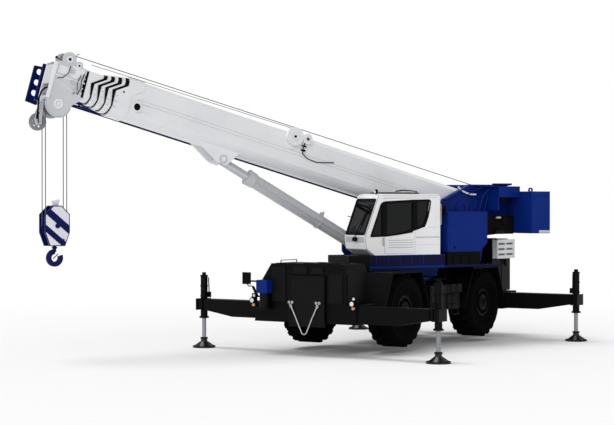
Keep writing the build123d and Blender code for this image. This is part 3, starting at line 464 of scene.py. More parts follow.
def long_line(name, y, start, end, radius, rear_body):
    """Rope along the top of the boom, in lengths that end at the mouths; the front length rides on the fifth
    section, the rear one on the boom unless a rear body is given, and the others on none.
    """
    stations = [start[0], 1.2 if rear_body else start[0] + 0.1]
    stations += [MOUTH + 0.02 + MOUTH_STEP * i for i in range(4)]
    stations.append(end[0])

    def place(u, side):
        share = (u - start[0]) / (end[0] - start[0])
        return Vector((u, side, start[1] + (end[1] - start[1]) * share))

    for i in range(len(stations) - 1):
        low = stations[i]
        high = stations[i + 1]
        count = 9 if i < 2 else 3
        path = [place(low + (high - low) * k / (count - 1), y) for k in range(count)]
        held = {0: "" if rear_body else "boom", 5: "section_5"}.get(i)
        line = piece("%s_%d" % (name, i + 1), BOOM, [tube(path, radius, 6)], rope_steel, held)
        if held:
            continue
        if i == 0:
            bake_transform(line)
        else:
            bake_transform(line)


long_line("hoist_rope", 0.0, WINCH_TOP, GUIDE_TOP, 0.011, "upper")
long_line("reel_cable", 0.33, (REEL_LARGE[0], 0.620), (11.30, 0.510), 0.008, "")

# ---------------------------------------------------------------- boom head
# White box, drawn greyer as painted shade, with a rounded sheave housing; grey cast sheaves, black caps on
# the pins and the small rods of the wind gauge and lamp give it its busy outline.
# painted shade: the head's white enamel is drawn greyer for the shade that lies on the head
head_shade_grey_enamel = sprayed("white_enamel_painted_grey_for_shade", "#d0d2d5", "#bfc2c6", 0.36, 0.15)
finish_nodes(head_shade_grey_enamel, "boom_head")
cast_sheave = sprayed("grey_cast_sheave", "#8e9195", "#7b7e83", 0.5, 0.0, 0.25)
finish_nodes(cast_sheave, "head_sheaves")
HEAD_SIDE = 0.252
head_caps = []
head_plates = []
head_shade = []
head_cables = []
head_boxes = []
head_rims = []
SHELL = 0.325        # radius of the rounded sheave housing
for side in (-1, 1):
    out = side * Y
    y = side * HEAD_SIDE
    head_caps += [disc(0.030, 0.014, (11.84, y, 0.487), out, 16),
                  disc(0.022, 0.012, (11.57, y, 0.41), out, 12)]
    head_plates += [ring(0.045, 0.085, 0.016, (11.84, y, 0.487), out),
                    ring(0.03, 0.06, 0.014, (11.57, y, 0.41), out),
                    ring(0.055, 0.120, 0.020, (11.85, y, -0.62), out, 32),
                    disc(0.050, 0.03, (11.85, y, -0.62), out, 20),
                    brick((11.33, y, 0.02), (12.10, y + side * 0.012, 0.05)),
                    plate([(11.36, -0.30), (11.90, -0.12), (11.90, -0.14), (11.36, -0.32)], y, side * 0.014),
                    brick((12.11, y - side * 0.03, -0.56), (12.19, y + side * 0.03, 0.34))]
    head_plates += bolts([(11.36, y, v) for v in (-0.22, -0.10, 0.14, 0.26)], out, 0.036, 0.014)
    head_plates += bolts([(11.72 + 0.11 * k, y, -0.42) for k in range(4)], out, 0.032, 0.012)
    head_plates += [plate([(11.40, 0.35), (11.40, 0.24), (11.56, 0.08), (11.72, 0.08), (11.72, 0.37)], y,
                          side * 0.016), brick((11.80, y, 0.30), (12.05, y + side * 0.010, 0.10))]
    head_plates += bolts([(11.46 + 0.075 * k, y + side * 0.016, 0.31) for k in range(4)], out, 0.034, 0.014)
    head_plates += bolts([(11.84 + 0.085 * k, y + side * 0.010, v) for k in range(3) for v in (0.14, 0.26)],
                         out, 0.030, 0.012)
    head_plates += bolts([(11.60 + 0.09 * k, y + side * 0.016, 0.13) for k in range(2)], out, 0.034, 0.014)
    head_shade.append(plate([(11.290, -0.31), (11.290, 0.35), (11.335, 0.35), (11.375, -0.02),
                             (11.345, -0.31)], y, side * 0.006))
    rim = [(11.85 + SHELL * math.cos(math.radians(a)), side * 0.258,
            -0.62 + SHELL * math.sin(math.radians(a))) for a in range(-178, 12, 10)]
    head_rims.append(tube(rim, 0.014, 8))
    head_cables += [tube([(11.40, y + side * 0.02, 0.26), (11.43, y + side * 0.03, 0.08),
                          (11.41, y + side * 0.03, -0.12), (11.46, y + side * 0.02, -0.28)], 0.010, 6),
                    tube([(11.47, y + side * 0.02, 0.22), (11.52, y + side * 0.03, 0.02),
                          (11.49, y + side * 0.03, -0.16), (11.56, y + side * 0.02, -0.30)], 0.008, 6),
                    tube([(11.78, y + side * 0.015, 0.34), (11.80, y + side * 0.02, 0.16),
                          (11.90, y + side * 0.02, 0.02), (12.04, y + side * 0.015, -0.04)], 0.008, 6)]
    for u, v, wide, high in ((11.58, -0.06, 0.10, 0.07), (11.66, 0.17, 0.07, 0.10),
                             (11.50, -0.24, 0.07, 0.07)):
        head_boxes.append(brick((u, y, v), (u + wide, y + side * 0.045, v + high)))
    head_boxes.append(slab([(11.29, -0.335), (11.62, -0.40), (11.545, -0.56)], side * 0.216, side * 0.236,
                           "y"))
piece("head_cables", BOOM, head_cables, black_rubber_and_shade, "section_5")
piece("head_junction_boxes", BOOM, head_boxes, grey_steel, "section_5", 0.003)
piece("head_rear_shade", BOOM, head_shade, black_rubber_and_shade, "section_5")
piece("head_shell_rims", BOOM, head_rims, grey_steel, "section_5")
piece("head_pin_caps", BOOM, head_caps, black_rubber_and_shade, "section_5")
piece("head_plates_and_bolts", BOOM, head_plates, white_enamel, "section_5", 0.003)
rods = [tube([(12.02, 0.20, 0.39), (12.16, 0.32, 0.41), (12.24, 0.37, 0.41)], 0.012),
        disc(0.028, 0.05, (12.22, 0.36, 0.39), Z, 12),
        tube([(11.66, 0.05, 0.44), (11.62, 0.06, 0.70)], 0.009, 6),
        tube([(11.62, 0.06, 0.70), (11.55, 0.06, 0.71)], 0.007, 6),
        tube([(12.16, 0.10, -1.18), (12.28, 0.30, -1.02), (12.32, 0.34, -1.00)], 0.012),
        disc(0.025, 0.05, (12.30, 0.33, -1.02), Z, 12)]
piece("head_rods_and_lamp", BOOM, rods, black_rubber_and_shade, "section_5")
hose = [(12.17, 0.16, -0.30), (12.24, 0.16, -0.34), (12.30, 0.15, -0.45), (12.31, 0.13, -0.62),
        (12.26, 0.11, -0.85), (12.22, 0.10, -1.10)]
piece("head_hose", BOOM, [tube(hose, 0.022, 10)], black_rubber_and_shade, "section_5")
fork_caps = [ring(0.02, 0.06, 0.012, (12.15, side * 0.071, -1.15), side * Y, 20) for side in (-1, 1)]
fork_caps += [brick((12.04, -0.07, -0.66), (12.20, 0.07, -0.60)),
              brick((12.10, -0.215, -0.58), (12.20, -0.19, -0.40))]
piece("single_sheave_fork_caps", BOOM, fork_caps, grey_steel, "section_5", 0.003)

# ---------------------------------------------------------------- stowed jib
# Tube lattice in dark navy enamel, a touch of gloss so that each chord draws one
# thin light line along its length.
navy_enamel = sprayed("navy_enamel", "#07114a", "#091556", 0.36, specular=0.12)
finish_nodes(navy_enamel, "stowed_jib")
finish_nodes(grey_steel, "jib_brackets")
root = []
for y in (-1.15, -0.55):
    for v in (-0.330, -0.060, 0.210):
        root.append(ring(0.078, 0.100, 0.072, (12.03, y - 0.006, v), Y, 28))
    root += bolts([(11.80, y + 0.06, v) for v in (-0.28, 0.0, 0.28)], Y, 0.045, 0.018)
piece("jib_root_rings", BOOM, root, navy_enamel, "boom", 0.002)
tip = [ring(0.06, 0.205, 0.06, (2.10, -0.83, -0.52), Y, 32), disc(0.045, 0.09, (2.10, -0.845, -0.52), Y, 16)]
piece("jib_tip_sheave", BOOM, tip, cast_sheave, "boom", 0.004)
tip_arms = [plate([(1.98, -0.30), (2.22, -0.30), (2.16, -0.56), (2.04, -0.56)], y, 0.018)
            for y in (-0.87, -0.75)]
tip_arms += [brick((1.95, -1.12, -0.36), (2.07, -0.52, -0.30)),
             tube([(1.92, -0.60, -0.36), (1.86, -0.62, -0.56), (1.98, -0.62, -0.62)], 0.016)]
piece("jib_tip_arms", BOOM, tip_arms, navy_enamel, "boom", 0.003)
holder = []
for y in (-0.36, -0.22):
    holder += [plate([(1.62, -0.49), (1.72, -0.49), (1.64, -0.66), (1.56, -0.66)], y, 0.02),
               plate([(1.36, -0.49), (1.46, -0.49), (1.38, -0.72), (1.28, -0.72)], y, 0.02),
               plate([(1.28, -0.66), (1.62, -0.66), (1.60, -0.72), (1.28, -0.74)], y, 0.02)]
holder.append(brick((1.30, -0.36, -0.74), (1.60, -0.20, -0.70)))
piece("jib_stow_holder", BOOM, holder, grey_steel, "boom", 0.003)
knob = [disc(0.04, 0.05, (1.46, -0.30, -0.70), Z, 16), disc(0.045, 0.06, (0.86, 0.10, -0.56), Z, 16),
        tube([(0.86, 0.10, -0.56), (0.86, 0.10, -0.48)], 0.02)]
piece("boom_underside_sensors", BOOM, knob, black_rubber_and_shade, "boom")

# ---------------------------------------------------------------- lift cylinder
# Light grey enamelled barrel and a brighter plated rod. Collars, a clamp with two
# bolts and the oil pipe are laid on the barrel.
finish_nodes(grey_steel, "lift_cylinder_barrel")
plated_rod = sprayed("plated_rod", "#c9ccd0", "#b9bdc2", 0.22, 0.0, 0.55)
finish_nodes(plated_rod, "lift_cylinder_rod")
EYE = Vector((5.320, 0, 4.898))  # upper pin of the lift cylinder
LIFT_WAY = (Vector((1.200, 0, 2.670)) - EYE).normalized()
LIFT = UPPER @ working_frame(LIFT_WAY, Y, EYE)
clamps = [ring(0.174, 0.196, 0.06, (3.30, 0, 0), X, 40), ring(0.198, 0.212, 0.03, (0.925, 0, 0), X, 40),
          ring(0.174, 0.186, 0.03, (1.13, 0, 0), X, 40), brick((3.28, -0.04, -0.25), (3.38, 0.04, -0.17)),
          brick((1.78, 0.14, -0.03), (1.84, 0.20, 0.03))]
clamps += bolts([(3.33, 0.05, -0.20), (3.33, -0.05, -0.20)], -Z, 0.03, 0.03)
piece("lift_barrel_clamps", LIFT, clamps, grey_steel, "lift_barrel", 0.003)
supply = [tube([(1.00, 0.18, 0.04), (1.10, 0.205, 0.04), (3.25, 0.195, 0.03), (4.20, 0.195, 0.02)], 0.014),
          disc(0.022, 0.06, (3.34, 0.03, -0.24), -Z, 12)]
piece("lift_barrel_pipes", LIFT, supply, grey_steel, "lift_barrel")
eye_rings = [ring(0.074, 0.110, 0.014, (EYE.x, side * 0.262, EYE.z), side * Y, 28) for side in (-1, 1)]
piece("lift_pin_rings", UPPER, eye_rings, grey_steel, "boom", 0.003)

# ---------------------------------------------------------------- hook block
# Navy block whose cheeks carry broad white warning bands. Only the bands, the pins
# and the rope's wedge socket are laid on; the body is the navy enamel.
finish_nodes(navy_enamel, "hook_block", "hook")
finish_nodes(navy_enamel, "block_sheaves")
warning_white = sprayed("warning_white_enamel", "#e8e6ee", "#d6d4dc", 0.4, 0.1)


def cut(outline, normal, limit):
    """The part of an outline where the dot product with a normal is below a limit."""
    kept = []
    for i, p in enumerate(outline):
        q = outline[(i + 1) % len(outline)]
        a = p[0] * normal[0] + p[1] * normal[1] - limit
        b = q[0] * normal[0] + q[1] * normal[1] - limit
        if a <= 0:
            kept.append(p)
        if a * b < 0:
            share = a / (a - b)
            kept.append((p[0] + (q[0] - p[0]) * share, p[1] + (q[1] - p[1]) * share))
    return kept


low, high = span("hook_block", UPPER)
mid = (low.x + high.x) / 2
half = 0.315
cheek = [(mid - half + 0.12, 2.760), (mid + half - 0.12, 2.760), (mid + half, 3.083), (mid + half, 3.520),
         (mid + half - 0.21, 3.730), (mid - half + 0.21, 3.730), (mid - half, 3.520), (mid - half, 3.083)]
cheek = [(mid + (x - mid) * 0.93, 3.245 + (z - 3.245) * 0.95) for x, z in cheek]
SLOPE = (-0.64, 0.77)            # square to the bands, which fall towards the crane
centre_level = mid * SLOPE[0] + 3.245 * SLOPE[1]
BLOCK_SIDE = 0.200               # outer face of a cheek
bands = []
for start, end in ((-0.60, -0.30), (-0.16, 0.03), (0.20, 0.42)):
    part = cut(cut(cheek, SLOPE, centre_level + end), (-SLOPE[0], -SLOPE[1]), -centre_level - start)
    for side in (-1, 1):
        bands.append(plate(part, side * BLOCK_SIDE, side * 0.004))
piece("hook_block_bands", UPPER, bands, warning_white, "hook_block")
block_pins = []
for side in (-1, 1):
    y = side * BLOCK_SIDE
    block_pins += [disc(0.060, 0.020, (mid, y, 3.245), side * Y, 24),
                   disc(0.032, 0.03, (mid - 0.14, y, 2.90), side * Y, 16),
                   disc(0.020, 0.02, (mid + 0.19, y, 3.05), side * Y, 12),
                   disc(0.020, 0.02, (mid - 0.22, y, 3.20), side * Y, 12)]
piece("hook_block_pins", UPPER, block_pins, navy_enamel, "hook_block", 0.003)
wedge = [slab([(mid - 0.08, 3.70), (mid + 0.05, 3.70), (mid + 0.06, 3.84), (mid - 0.12, 3.88)], -0.05, 0.05,
              "y"), ring(0.02, 0.05, 0.11, (mid - 0.02, -0.055, 3.74), Y, 16)]
piece("wedge_socket", UPPER, wedge, warning_white, "hook_block", 0.006)
latch = [slab([(mid - 0.10, 2.565), (mid - 0.085, 2.575), (mid + 0.045, 2.46), (mid + 0.03, 2.45)], -0.018,
              0.018, "y"), ring(0.044, 0.070, 0.035, (mid, 0, 2.70), Z, 24)]
piece("hook_latch_and_nut", UPPER, latch, navy_enamel, "hook", 0.003)

# ---------------------------------------------------------------- turntable and winches
# Strong blue enamel on the housing plates and counterweight, glossy enough that edges
# and folds catch the lamps; dark drums with grey rope in even coils.
blue_enamel = sprayed("blue_enamel", "#082470", "#0a297c", 0.34, specular=0.10)
finish_nodes(blue_enamel, "turntable")
WINCH_X = -3.0
WINCH_Z = (3.330, 3.960)         # lower and upper drum
DRUM_HALF = 0.385                # half the drum's length
dark_steel = sprayed("dark_machined_steel", "#18191b", "#101112", 0.42, 0.0, 0.4, 0.15)
finish_nodes(dark_steel, "winches")
coil_r = 0.0125      # half a turn of rope
for number, z in enumerate(WINCH_Z):
    profile = [(0.199, -DRUM_HALF + 0.065), (0.199, DRUM_HALF - 0.065)]
    count = int((2 * DRUM_HALF - 0.15) / (2 * coil_r))
    for k in range(count):
        y = DRUM_HALF - 0.075 - 2 * coil_r * (k + 0.5)
        profile += [(0.205, y + coil_r), (0.205 + coil_r * 1.2, y + coil_r * 0.55),
                    (0.205 + coil_r * 1.2, y - coil_r * 0.55)]
    piece("winch_rope_coils_%d" % (number + 1), UPPER, [turned(profile, (WINCH_X, 0, z), Y, 36)], rope_steel,
          "upper")
plates = []
for side in (-1, 1):
    y = side * 0.465
    out = side * Y
    plates += [ring(0.10, 0.20, 0.03, (-1.863, y, 3.652), out, 36),
               ring(0.12, 0.26, 0.035, (WINCH_X, y, WINCH_Z[1]), out, 36),
               ring(0.12, 0.26, 0.035, (WINCH_X, y, WINCH_Z[0]), out, 36),
               ring(0.05, 0.12, 0.02, (1.20, y, 2.670), out, 28)]
    plates += bolts([(WINCH_X + 0.21 * math.cos(a * math.pi / 4), y + side * 0.03,
                      z + 0.21 * math.sin(a * math.pi / 4)) for a in range(8) for z in WINCH_Z], out, 0.034,
                    0.016)
    plates += [plate([(-2.07, 4.30), (-1.23, 3.90), (-1.25, 3.87), (-2.08, 4.26)], y, side * 0.10),
               brick((-3.36, y, 4.26), (-2.07, y + side * 0.10, 4.30)),
               brick((-2.60, y, 2.95), (-2.56, y + side * 0.06, 4.26))]
piece("turntable_ribs_and_bolts", UPPER, plates, blue_enamel, "upper", 0.003)
winch_cover = [slab([(-3.36, 4.235), (-2.50, 4.235), (-2.50, 4.250), (-3.36, 4.250)], 0.47, 1.10, "y"),
               slab([(-2.50, 4.235), (-1.98, 4.03), (-1.98, 4.045), (-2.50, 4.250)], 0.47, 0.62, "y"),
               brick((-3.36, 1.06, 3.95), (-2.62, 1.10, 4.25)),
               brick((-2.66, 0.47, 3.60), (-2.62, 1.10, 4.235))]
piece("winch_side_cover", UPPER, winch_cover, blue_enamel, "upper", 0.006)
pipes = [tube([(-2.55, 0.56, 3.10), (-2.52, 0.60, 3.60), (-2.62, 0.64, 4.05), (-2.80, 0.70, 4.29),
               (-3.30, 0.72, 4.30)], 0.025, 10),
         tube([(-2.35, 0.56, 3.05), (-2.33, 0.60, 3.55), (-2.44, 0.66, 3.98), (-2.70, 0.76, 4.31),
               (-3.30, 0.80, 4.31)], 0.025, 10),
         tube([(-2.15, 0.56, 3.05), (-2.13, 0.58, 3.50), (-2.24, 0.62, 3.85)], 0.022, 10)]
piece("blue_hydraulic_pipes", UPPER, pipes, blue_enamel, "upper")
arc = [(-1.72, 0.50, 4.24), (-1.80, 0.53, 4.14), (-1.93, 0.56, 4.07), (-2.10, 0.58, 4.03),
       (-2.25, 0.58, 4.03)]
piece("white_hose_guard", UPPER, [tube(arc, 0.026, 10)], warning_white, "upper")
motors = [disc(0.13, 0.26, (WINCH_X, 0.50, WINCH_Z[0]), Y, 24),
          disc(0.10, 0.16, (WINCH_X, 0.76, WINCH_Z[0]), Y, 24),
          disc(0.13, 0.26, (WINCH_X, 0.50, WINCH_Z[1]), Y, 24),
          brick((-3.12, 0.72, 3.86), (-2.86, 0.90, 4.06)), disc(0.06, 0.40, (-2.75, 0.62, 3.02), Y, 16),
          brick((-2.9, 0.5, 2.95), (-2.62, 1.0, 3.06))]
piece("winch_motors", UPPER, motors, dark_steel, "upper", 0.006)
dark_wall = [slab([(-1.95, 2.95), (-1.95, 3.45), (-3.30, 3.45), (-3.30, 2.95)], 0.86, 0.88, "y"),
             brick((-2.02, 0.84, 2.95), (-1.96, 0.90, 3.50)), brick((-3.30, 0.86, 3.43), (-1.95, 0.90, 3.46))]
piece("winch_side_panel", UPPER, dark_wall, black_rubber_and_shade, "upper", 0.004)
fittings = [disc(0.028, 0.10, (-2.62, 1.02, 3.40), -X, 12), disc(0.034, 0.05, (-2.70, 1.02, 3.40), -X, 12),
            disc(0.028, 0.06, (-2.30, 0.92, 3.38), -X, 12)]
piece("bright_hose_fittings", UPPER, fittings, plated_rod, "upper")

# ---------------------------------------------------------------- counterweight
# One slab in the same blue as the turntable. Bolted cover plates, lifting eyes and a
# blank strip are laid on it.
finish_nodes(blue_enamel, "counterweight")
weight = []
for side in (-1, 1):
    y = side * 1.600
    weight.append(brick((-3.40, y, 3.02), (-3.96, y + side * 0.006, 3.98)))
    weight += bolts([(-3.44, y, 3.06), (-3.92, y, 3.06), (-3.44, y, 3.94), (-3.92, y, 3.94)], side * Y, 0.04,
                    0.016)
    weight.append(ring(0.035, 0.07, 0.04, (-3.68, side * 1.15 - 0.02, 4.15), Y, 20))
weight += [brick((-4.004, -1.50, 3.05), (-3.998, 1.50, 4.03)),
           brick((-3.365, -1.55, 3.00), (-3.355, -0.52, 4.08)),
           brick((-3.365, 0.52, 3.00), (-3.355, 1.55, 4.08))]
piece("counterweight_plates_and_eyes", UPPER, weight, blue_enamel, "upper", 0.003)
blank_strip = [brick((-3.99, 1.606, 2.985), (-3.62, 1.609, 3.055)),
               brick((-4.010, 0.95, 2.985), (-4.004, 1.50, 3.055))]
piece("blank_marking_strip", UPPER, blank_strip, grey_steel, "upper")

# ---------------------------------------------------------------- cabinets and decks
# Blue side cabinet with a door plate laid on it; navy decks with a raised edge, and
# bright steps below the cab.
BLACK_PAINT = "#070708"


def two_tone(material, way, limit, beyond):
    """Blacks out a finish beyond a plane square to a way, or short of it.

    It returns the node that is 1 beyond the plane and 0 short of it.
    """
    tree = material.node_tree
    shader = tree.nodes["Principled BSDF"]
    coat = shader.inputs["Base Color"].links[0].from_socket
    place = add(tree, "TexCoord")
    reach = add(tree, "VectorMath", {"operation": "DOT_PRODUCT", 1: tuple(way)}, {0: place.outputs["Object"]})
    past = add(tree, "Math", {"operation": "GREATER_THAN", 1: limit}, {0: reach.outputs["Value"]})
    coat_side, black_side = (6, 7) if beyond else (7, 6)
    swap = add(tree, "Mix", {"data_type": "RGBA", black_side: linear(BLACK_PAINT)},
               {"Factor": past.outputs["Value"]})
    tree.links.new(coat, swap.inputs[coat_side])
    tree.links.new(swap.outputs[2], shader.inputs["Base Color"])
    return past


finish_nodes(blue_enamel, "cabinets")
deck_navy = sprayed("deck_navy_enamel", "#080d30", "#0a103a", 0.40, specular=0.10)
DECK_PAINT_END = 1.78            # the tread plate in front of this is black, ahead of the cab
deck_way = UPPER.col[0].xyz
two_tone(deck_navy, deck_way, DECK_PAINT_END + deck_way.dot(UPPER.col[3].xyz), True)
finish_nodes(deck_navy, "decks")
LEFT = 1.548         # outer face of the cab, decks and cabinet
door = [plate([(-0.70, 2.53), (-1.66, 2.53), (-1.66, 2.56), (-1.86, 2.78), (-1.86, 3.50), (-0.70, 3.50)],
              LEFT, 0.012)]
door += [brick((-0.68, LEFT, z), (-0.64, LEFT + 0.022, z + 0.10)) for z in (2.55, 3.25)]
piece("cabinet_door", UPPER, door, blue_enamel, "upper", 0.004)
latches = [disc(0.030, 0.014, (-0.86, LEFT + 0.012, 2.62), Y, 20),
           brick((-0.88, LEFT + 0.02, 2.60), (-0.84, LEFT + 0.034, 2.64)),
           brick((-1.90, LEFT - 0.10, 2.70), (-1.95, LEFT - 0.02, 2.76))]
piece("cabinet_latches", UPPER, latches, black_rubber_and_shade, "upper")
trim = [brick((-0.55, LEFT, 2.105), (DECK_PAINT_END, LEFT + 0.010, 2.165)),
        brick((-0.55, LEFT, 2.425), (DECK_PAINT_END, LEFT + 0.012, 2.445))]
rail = [brick((2.35, 0.46, 2.22), (2.62, 0.50, 2.25)),
        brick((2.35, LEFT - 0.06, 2.22), (2.62, LEFT - 0.02, 2.25)),
        brick((2.58, 0.46, 2.22), (2.62, LEFT - 0.02, 2.25))]
piece("deck_front_rail", UPPER, rail, black_rubber_and_shade, "upper", 0.003)
for k in range(5):
    trim.append(brick((0.12 + 0.36 * k, LEFT, 2.20), (0.14 + 0.36 * k, LEFT + 0.005, 2.40)))
piece("deck_edges", UPPER, trim, blue_enamel, "upper", 0.003)
skirt = [slab([(-0.638, 2.165), (-0.638, 2.505), (-1.692, 2.505), (-1.692, 2.165)], LEFT - 0.002,
              LEFT + 0.010, "y"),
         slab([(-0.638, 2.165), (-0.638, 2.505), (-0.628, 2.505), (-0.628, 2.165)], 1.0, LEFT, "y")]
skirt += [brick((-0.80 - 0.27 * k, LEFT, 2.20), (-0.98 - 0.27 * k, LEFT + 0.030, 2.42)) for k in range(3)]
piece("cabinet_foot_cover", UPPER, skirt, black_rubber_and_shade, "upper", 0.004)
step_steel = sprayed("galvanised_step", "#b9bcc0", "#a5a8ad", 0.45, 0.0, 0.4)
treads = []
for k, z in enumerate((2.02, 1.80)):
    treads += [brick((2.02, 1.02 + 0.03 * k, z), (2.34, 1.50, z + 0.035)),
               brick((2.02, 1.50, z - 0.02), (2.34, 1.515, z + 0.06))]
treads += [brick((2.03, 1.04, 1.78), (2.06, 1.07, 2.10)), brick((2.30, 1.04, 1.78), (2.33, 1.07, 2.10))]
piece("cab_steps", UPPER, treads, step_steel, "upper", 0.003)
rail_posts = []
for x in (-0.75, -1.45, -2.15):
    rail_posts.append(tube([(x, -1.46, 2.90), (x, -1.46, 3.45)], 0.016))
rail_posts.append(tube([(-0.75, -1.46, 3.45), (-2.15, -1.46, 3.45)], 0.016))
rail_posts.append(tube([(-0.75, -1.46, 3.17), (-2.15, -1.46, 3.17)], 0.013))
piece("right_handrail", UPPER, rail_posts, blue_enamel, "upper")

# ---------------------------------------------------------------- cab
# White pressed shell with black gaskets round dark tinted glass; the side windows
# read as one sheet because the pillars between them are blacked out.
cab_white = sprayed("cab_white_enamel", "#f4f4f5", "#ececee", 0.30, 0.30)
finish_nodes(cab_white, "cab_shell", "cab_door")
seat_cloth = sprayed("woven_seat_cloth", "#0b0c0e", "#121315", 0.85, specular=0.08)
finish_nodes(seat_cloth, "cab_seat_and_console")
tinted = bpy.data.materials.new("dark_tinted_glass")
tinted.use_nodes = True
set_inputs(tinted.node_tree.nodes["Principled BSDF"],
           {"Base Color": linear("#0f1212"), "Roughness": 0.03, "Transmission Weight": 0.45, "IOR": 1.45})
finish_nodes(tinted, "cab_glass")


def inset(outline, distance):
    """An outline moved inwards by a distance; it must run clockwise in its two axes."""
    moved = []
    for i, p in enumerate(outline):
        a = Vector(outline[i - 1])
        b = Vector(p)
        c = Vector(outline[(i + 1) % len(outline)])
        first = (b - a).normalized()
        second = (c - b).normalized()
        n1 = Vector((first.y, -first.x))
        n2 = Vector((second.y, -second.x))
        mitre = (n1 + n2) / (1 + n1.dot(n2))
        moved.append(tuple(b + mitre * distance))
    return moved


def frame_of(outline, width, low, high, across):
    """Flat border inside an outline, solid from low to high along one axis."""
    inner = inset(outline, width)
    count = len(outline)
    points = []
    for level in (low, high):
        for shape in (outline, inner):
            for a, b in shape:
                points.append({"x": (level, a, b), "y": (a, level, b), "z": (a, b, level)}[across])
    faces = []
    for i in range(count):
        j = (i + 1) % count
        faces += [(i, j, j + count, i + count), (i + 2 * count, i + 3 * count, j + 3 * count, j + 2 * count),
                  (i, i + 2 * count, j + 2 * count, j), (i + count, j + count, j + 3 * count, i + 3 * count)]
    return points, faces


gasket = sprayed("black_window_gasket", "#030304", "#060607", 0.35, specular=0.10)
SIDE_WINDOW = [(1.765, 2.915), (1.30, 2.925), (0.95, 2.960), (0.60, 3.025), (0.30, 3.105), (0.10, 3.170),
               (0.04, 3.24), (-0.03, 3.42), (-0.09, 3.66), (-0.115, 3.83), (-0.09, 3.875), (-0.04, 3.890),
               (0.45, 3.880), (1.00, 3.850), (1.36, 3.820), (1.425, 3.79), (1.46, 3.74)]
window_marks = [frame_of(SIDE_WINDOW, 0.042, LEFT, LEFT + 0.006, "y"),
                plate([(1.268, 2.93), (1.268, 3.84), (1.388, 3.82), (1.388, 2.93)], LEFT, 0.005),
                plate([(0.328, 3.10), (0.328, 3.88), (0.452, 3.88), (0.452, 3.08)], LEFT, 0.005),
                plate([(0.452, 3.03), (0.452, 3.115), (0.85, 2.998), (1.27, 2.965), (1.27, 2.93),
                       (0.95, 2.96)], LEFT, 0.005),
                plate([(0.44, 3.825), (0.44, 3.88), (1.28, 3.84), (1.28, 3.775)], LEFT, 0.005),
                plate([(0.08, 3.17), (0.33, 3.11), (0.33, 3.15), (0.11, 3.21), (0.02, 3.44), (-0.02, 3.42)],
                      LEFT, 0.005)]
OPENINGS = ([(0.450, 3.110), (0.450, 3.830), (1.270, 3.780), (1.270, 2.960), (0.850, 2.990)],
            [(1.385, 2.950), (1.385, 3.790), (1.440, 3.770), (1.760, 2.960)],
            [(-0.060, 3.850), (0.330, 3.840), (0.330, 3.130), (0.110, 3.200), (0.0, 3.450)])
window_marks += [frame_of(outline, 0.014, LEFT - 0.028, LEFT + 0.006, "y") for outline in OPENINGS]
piece("side_window_gasket", UPPER, window_marks, gasket, "upper")
# the windscreen leans back, so its gasket is laid out in a frame of its own
SCREEN_LOW = Vector((1.908, 0, 2.985))
SCREEN_HIGH = Vector((1.552, 0, 3.905))
screen_up = (SCREEN_HIGH - SCREEN_LOW).normalized()
SCREEN = UPPER @ working_frame(Y, screen_up, SCREEN_LOW)
tall = (SCREEN_HIGH - SCREEN_LOW).length
screen_outline = [(0.575, 0.02), (0.575, tall - 0.05), (0.61, tall), (1.49, tall), (1.525, tall - 0.05),
                  (1.525, 0.02), (1.49, -0.02), (0.61, -0.02)]
piece("windscreen_gasket", SCREEN, [frame_of(screen_outline, 0.075, -0.060, 0.012, "z")], gasket, "upper")
wiper = [tube([(1.12, -0.16, 0.04), (1.14, 0.02, 0.035), (1.22, 0.40, 0.03), (1.28, 0.66, 0.025)], 0.012),
         tube([(1.22, 0.24, 0.022), (1.34, 0.82, 0.022)], 0.010),
         brick((1.06, -0.19, -0.01), (1.20, -0.09, 0.05)),
         tube([(0.70, 0.46, 0.02), (0.62, 0.46, 0.08), (0.56, 0.46, 0.10)], 0.010)]
piece("windscreen_wiper", SCREEN, wiper, gasket, "upper")
# nose panel under the windscreen, and a bumper fillet
nose = [slab([(1.890, 2.625), (1.930, 2.925), (1.915, 2.965), (1.885, 2.965), (1.905, 2.92), (1.870, 2.62)],
             0.60, 1.508, "y"),
        slab([(1.665, 2.465), (1.700, 2.465), (1.900, 2.610), (1.880, 2.625)], 0.60, 1.508, "y")]
piece("cab_nose_panel", UPPER, nose, grey_steel, "upper", 0.012)
# painted shade of the grooves, ribs and seams of the side: (x0, z0, x1, z1)
shade = sprayed("panel_gap_shade", "#9b9ea3", "#90939a", 0.6)
lines = [(0.388, 2.49, 0.394, 3.09), (1.326, 2.49, 1.332, 2.93), (0.39, 2.486, 1.33, 2.492),
         (-0.38, 2.893, 0.36, 2.913), (-0.38, 2.70, 0.36, 2.704), (-0.38, 3.16, -0.02, 3.164)]
for k in range(4):
    lines.append((0.44, 2.640 + 0.062 * k, 1.20, 2.652 + 0.062 * k))
grooves = [brick((x0, LEFT, z0), (x1, LEFT + 0.003, z1)) for x0, z0, x1, z1 in lines]
grooves += [brick((-0.33, LEFT, 3.985), (1.38, LEFT + 0.003, 3.978)),
            plate([(-0.30, 3.935), (1.40, 3.915), (1.40, 3.909), (-0.30, 3.929)], LEFT, 0.003),
            plate([(1.500, 3.99), (1.518, 3.985), (1.925, 2.93), (1.905, 2.93)], LEFT, 0.004),
            plate([(1.62, 2.45), (1.63, 2.45), (1.885, 2.62), (1.925, 2.93), (1.915, 2.93), (1.872, 2.63)],
                  LEFT, 0.004)]
piece("cab_side_seams", UPPER, grooves, shade, "upper")
ribs = [brick((0.44, LEFT, 2.652 + 0.062 * k), (1.20, LEFT + 0.006, 2.664 + 0.062 * k)) for k in range(4)]
ribs.append(brick((-0.38, LEFT, 2.913), (0.36, LEFT + 0.010, 2.925)))
piece("cab_side_ribs", UPPER, ribs, cab_white, "upper", 0.002)
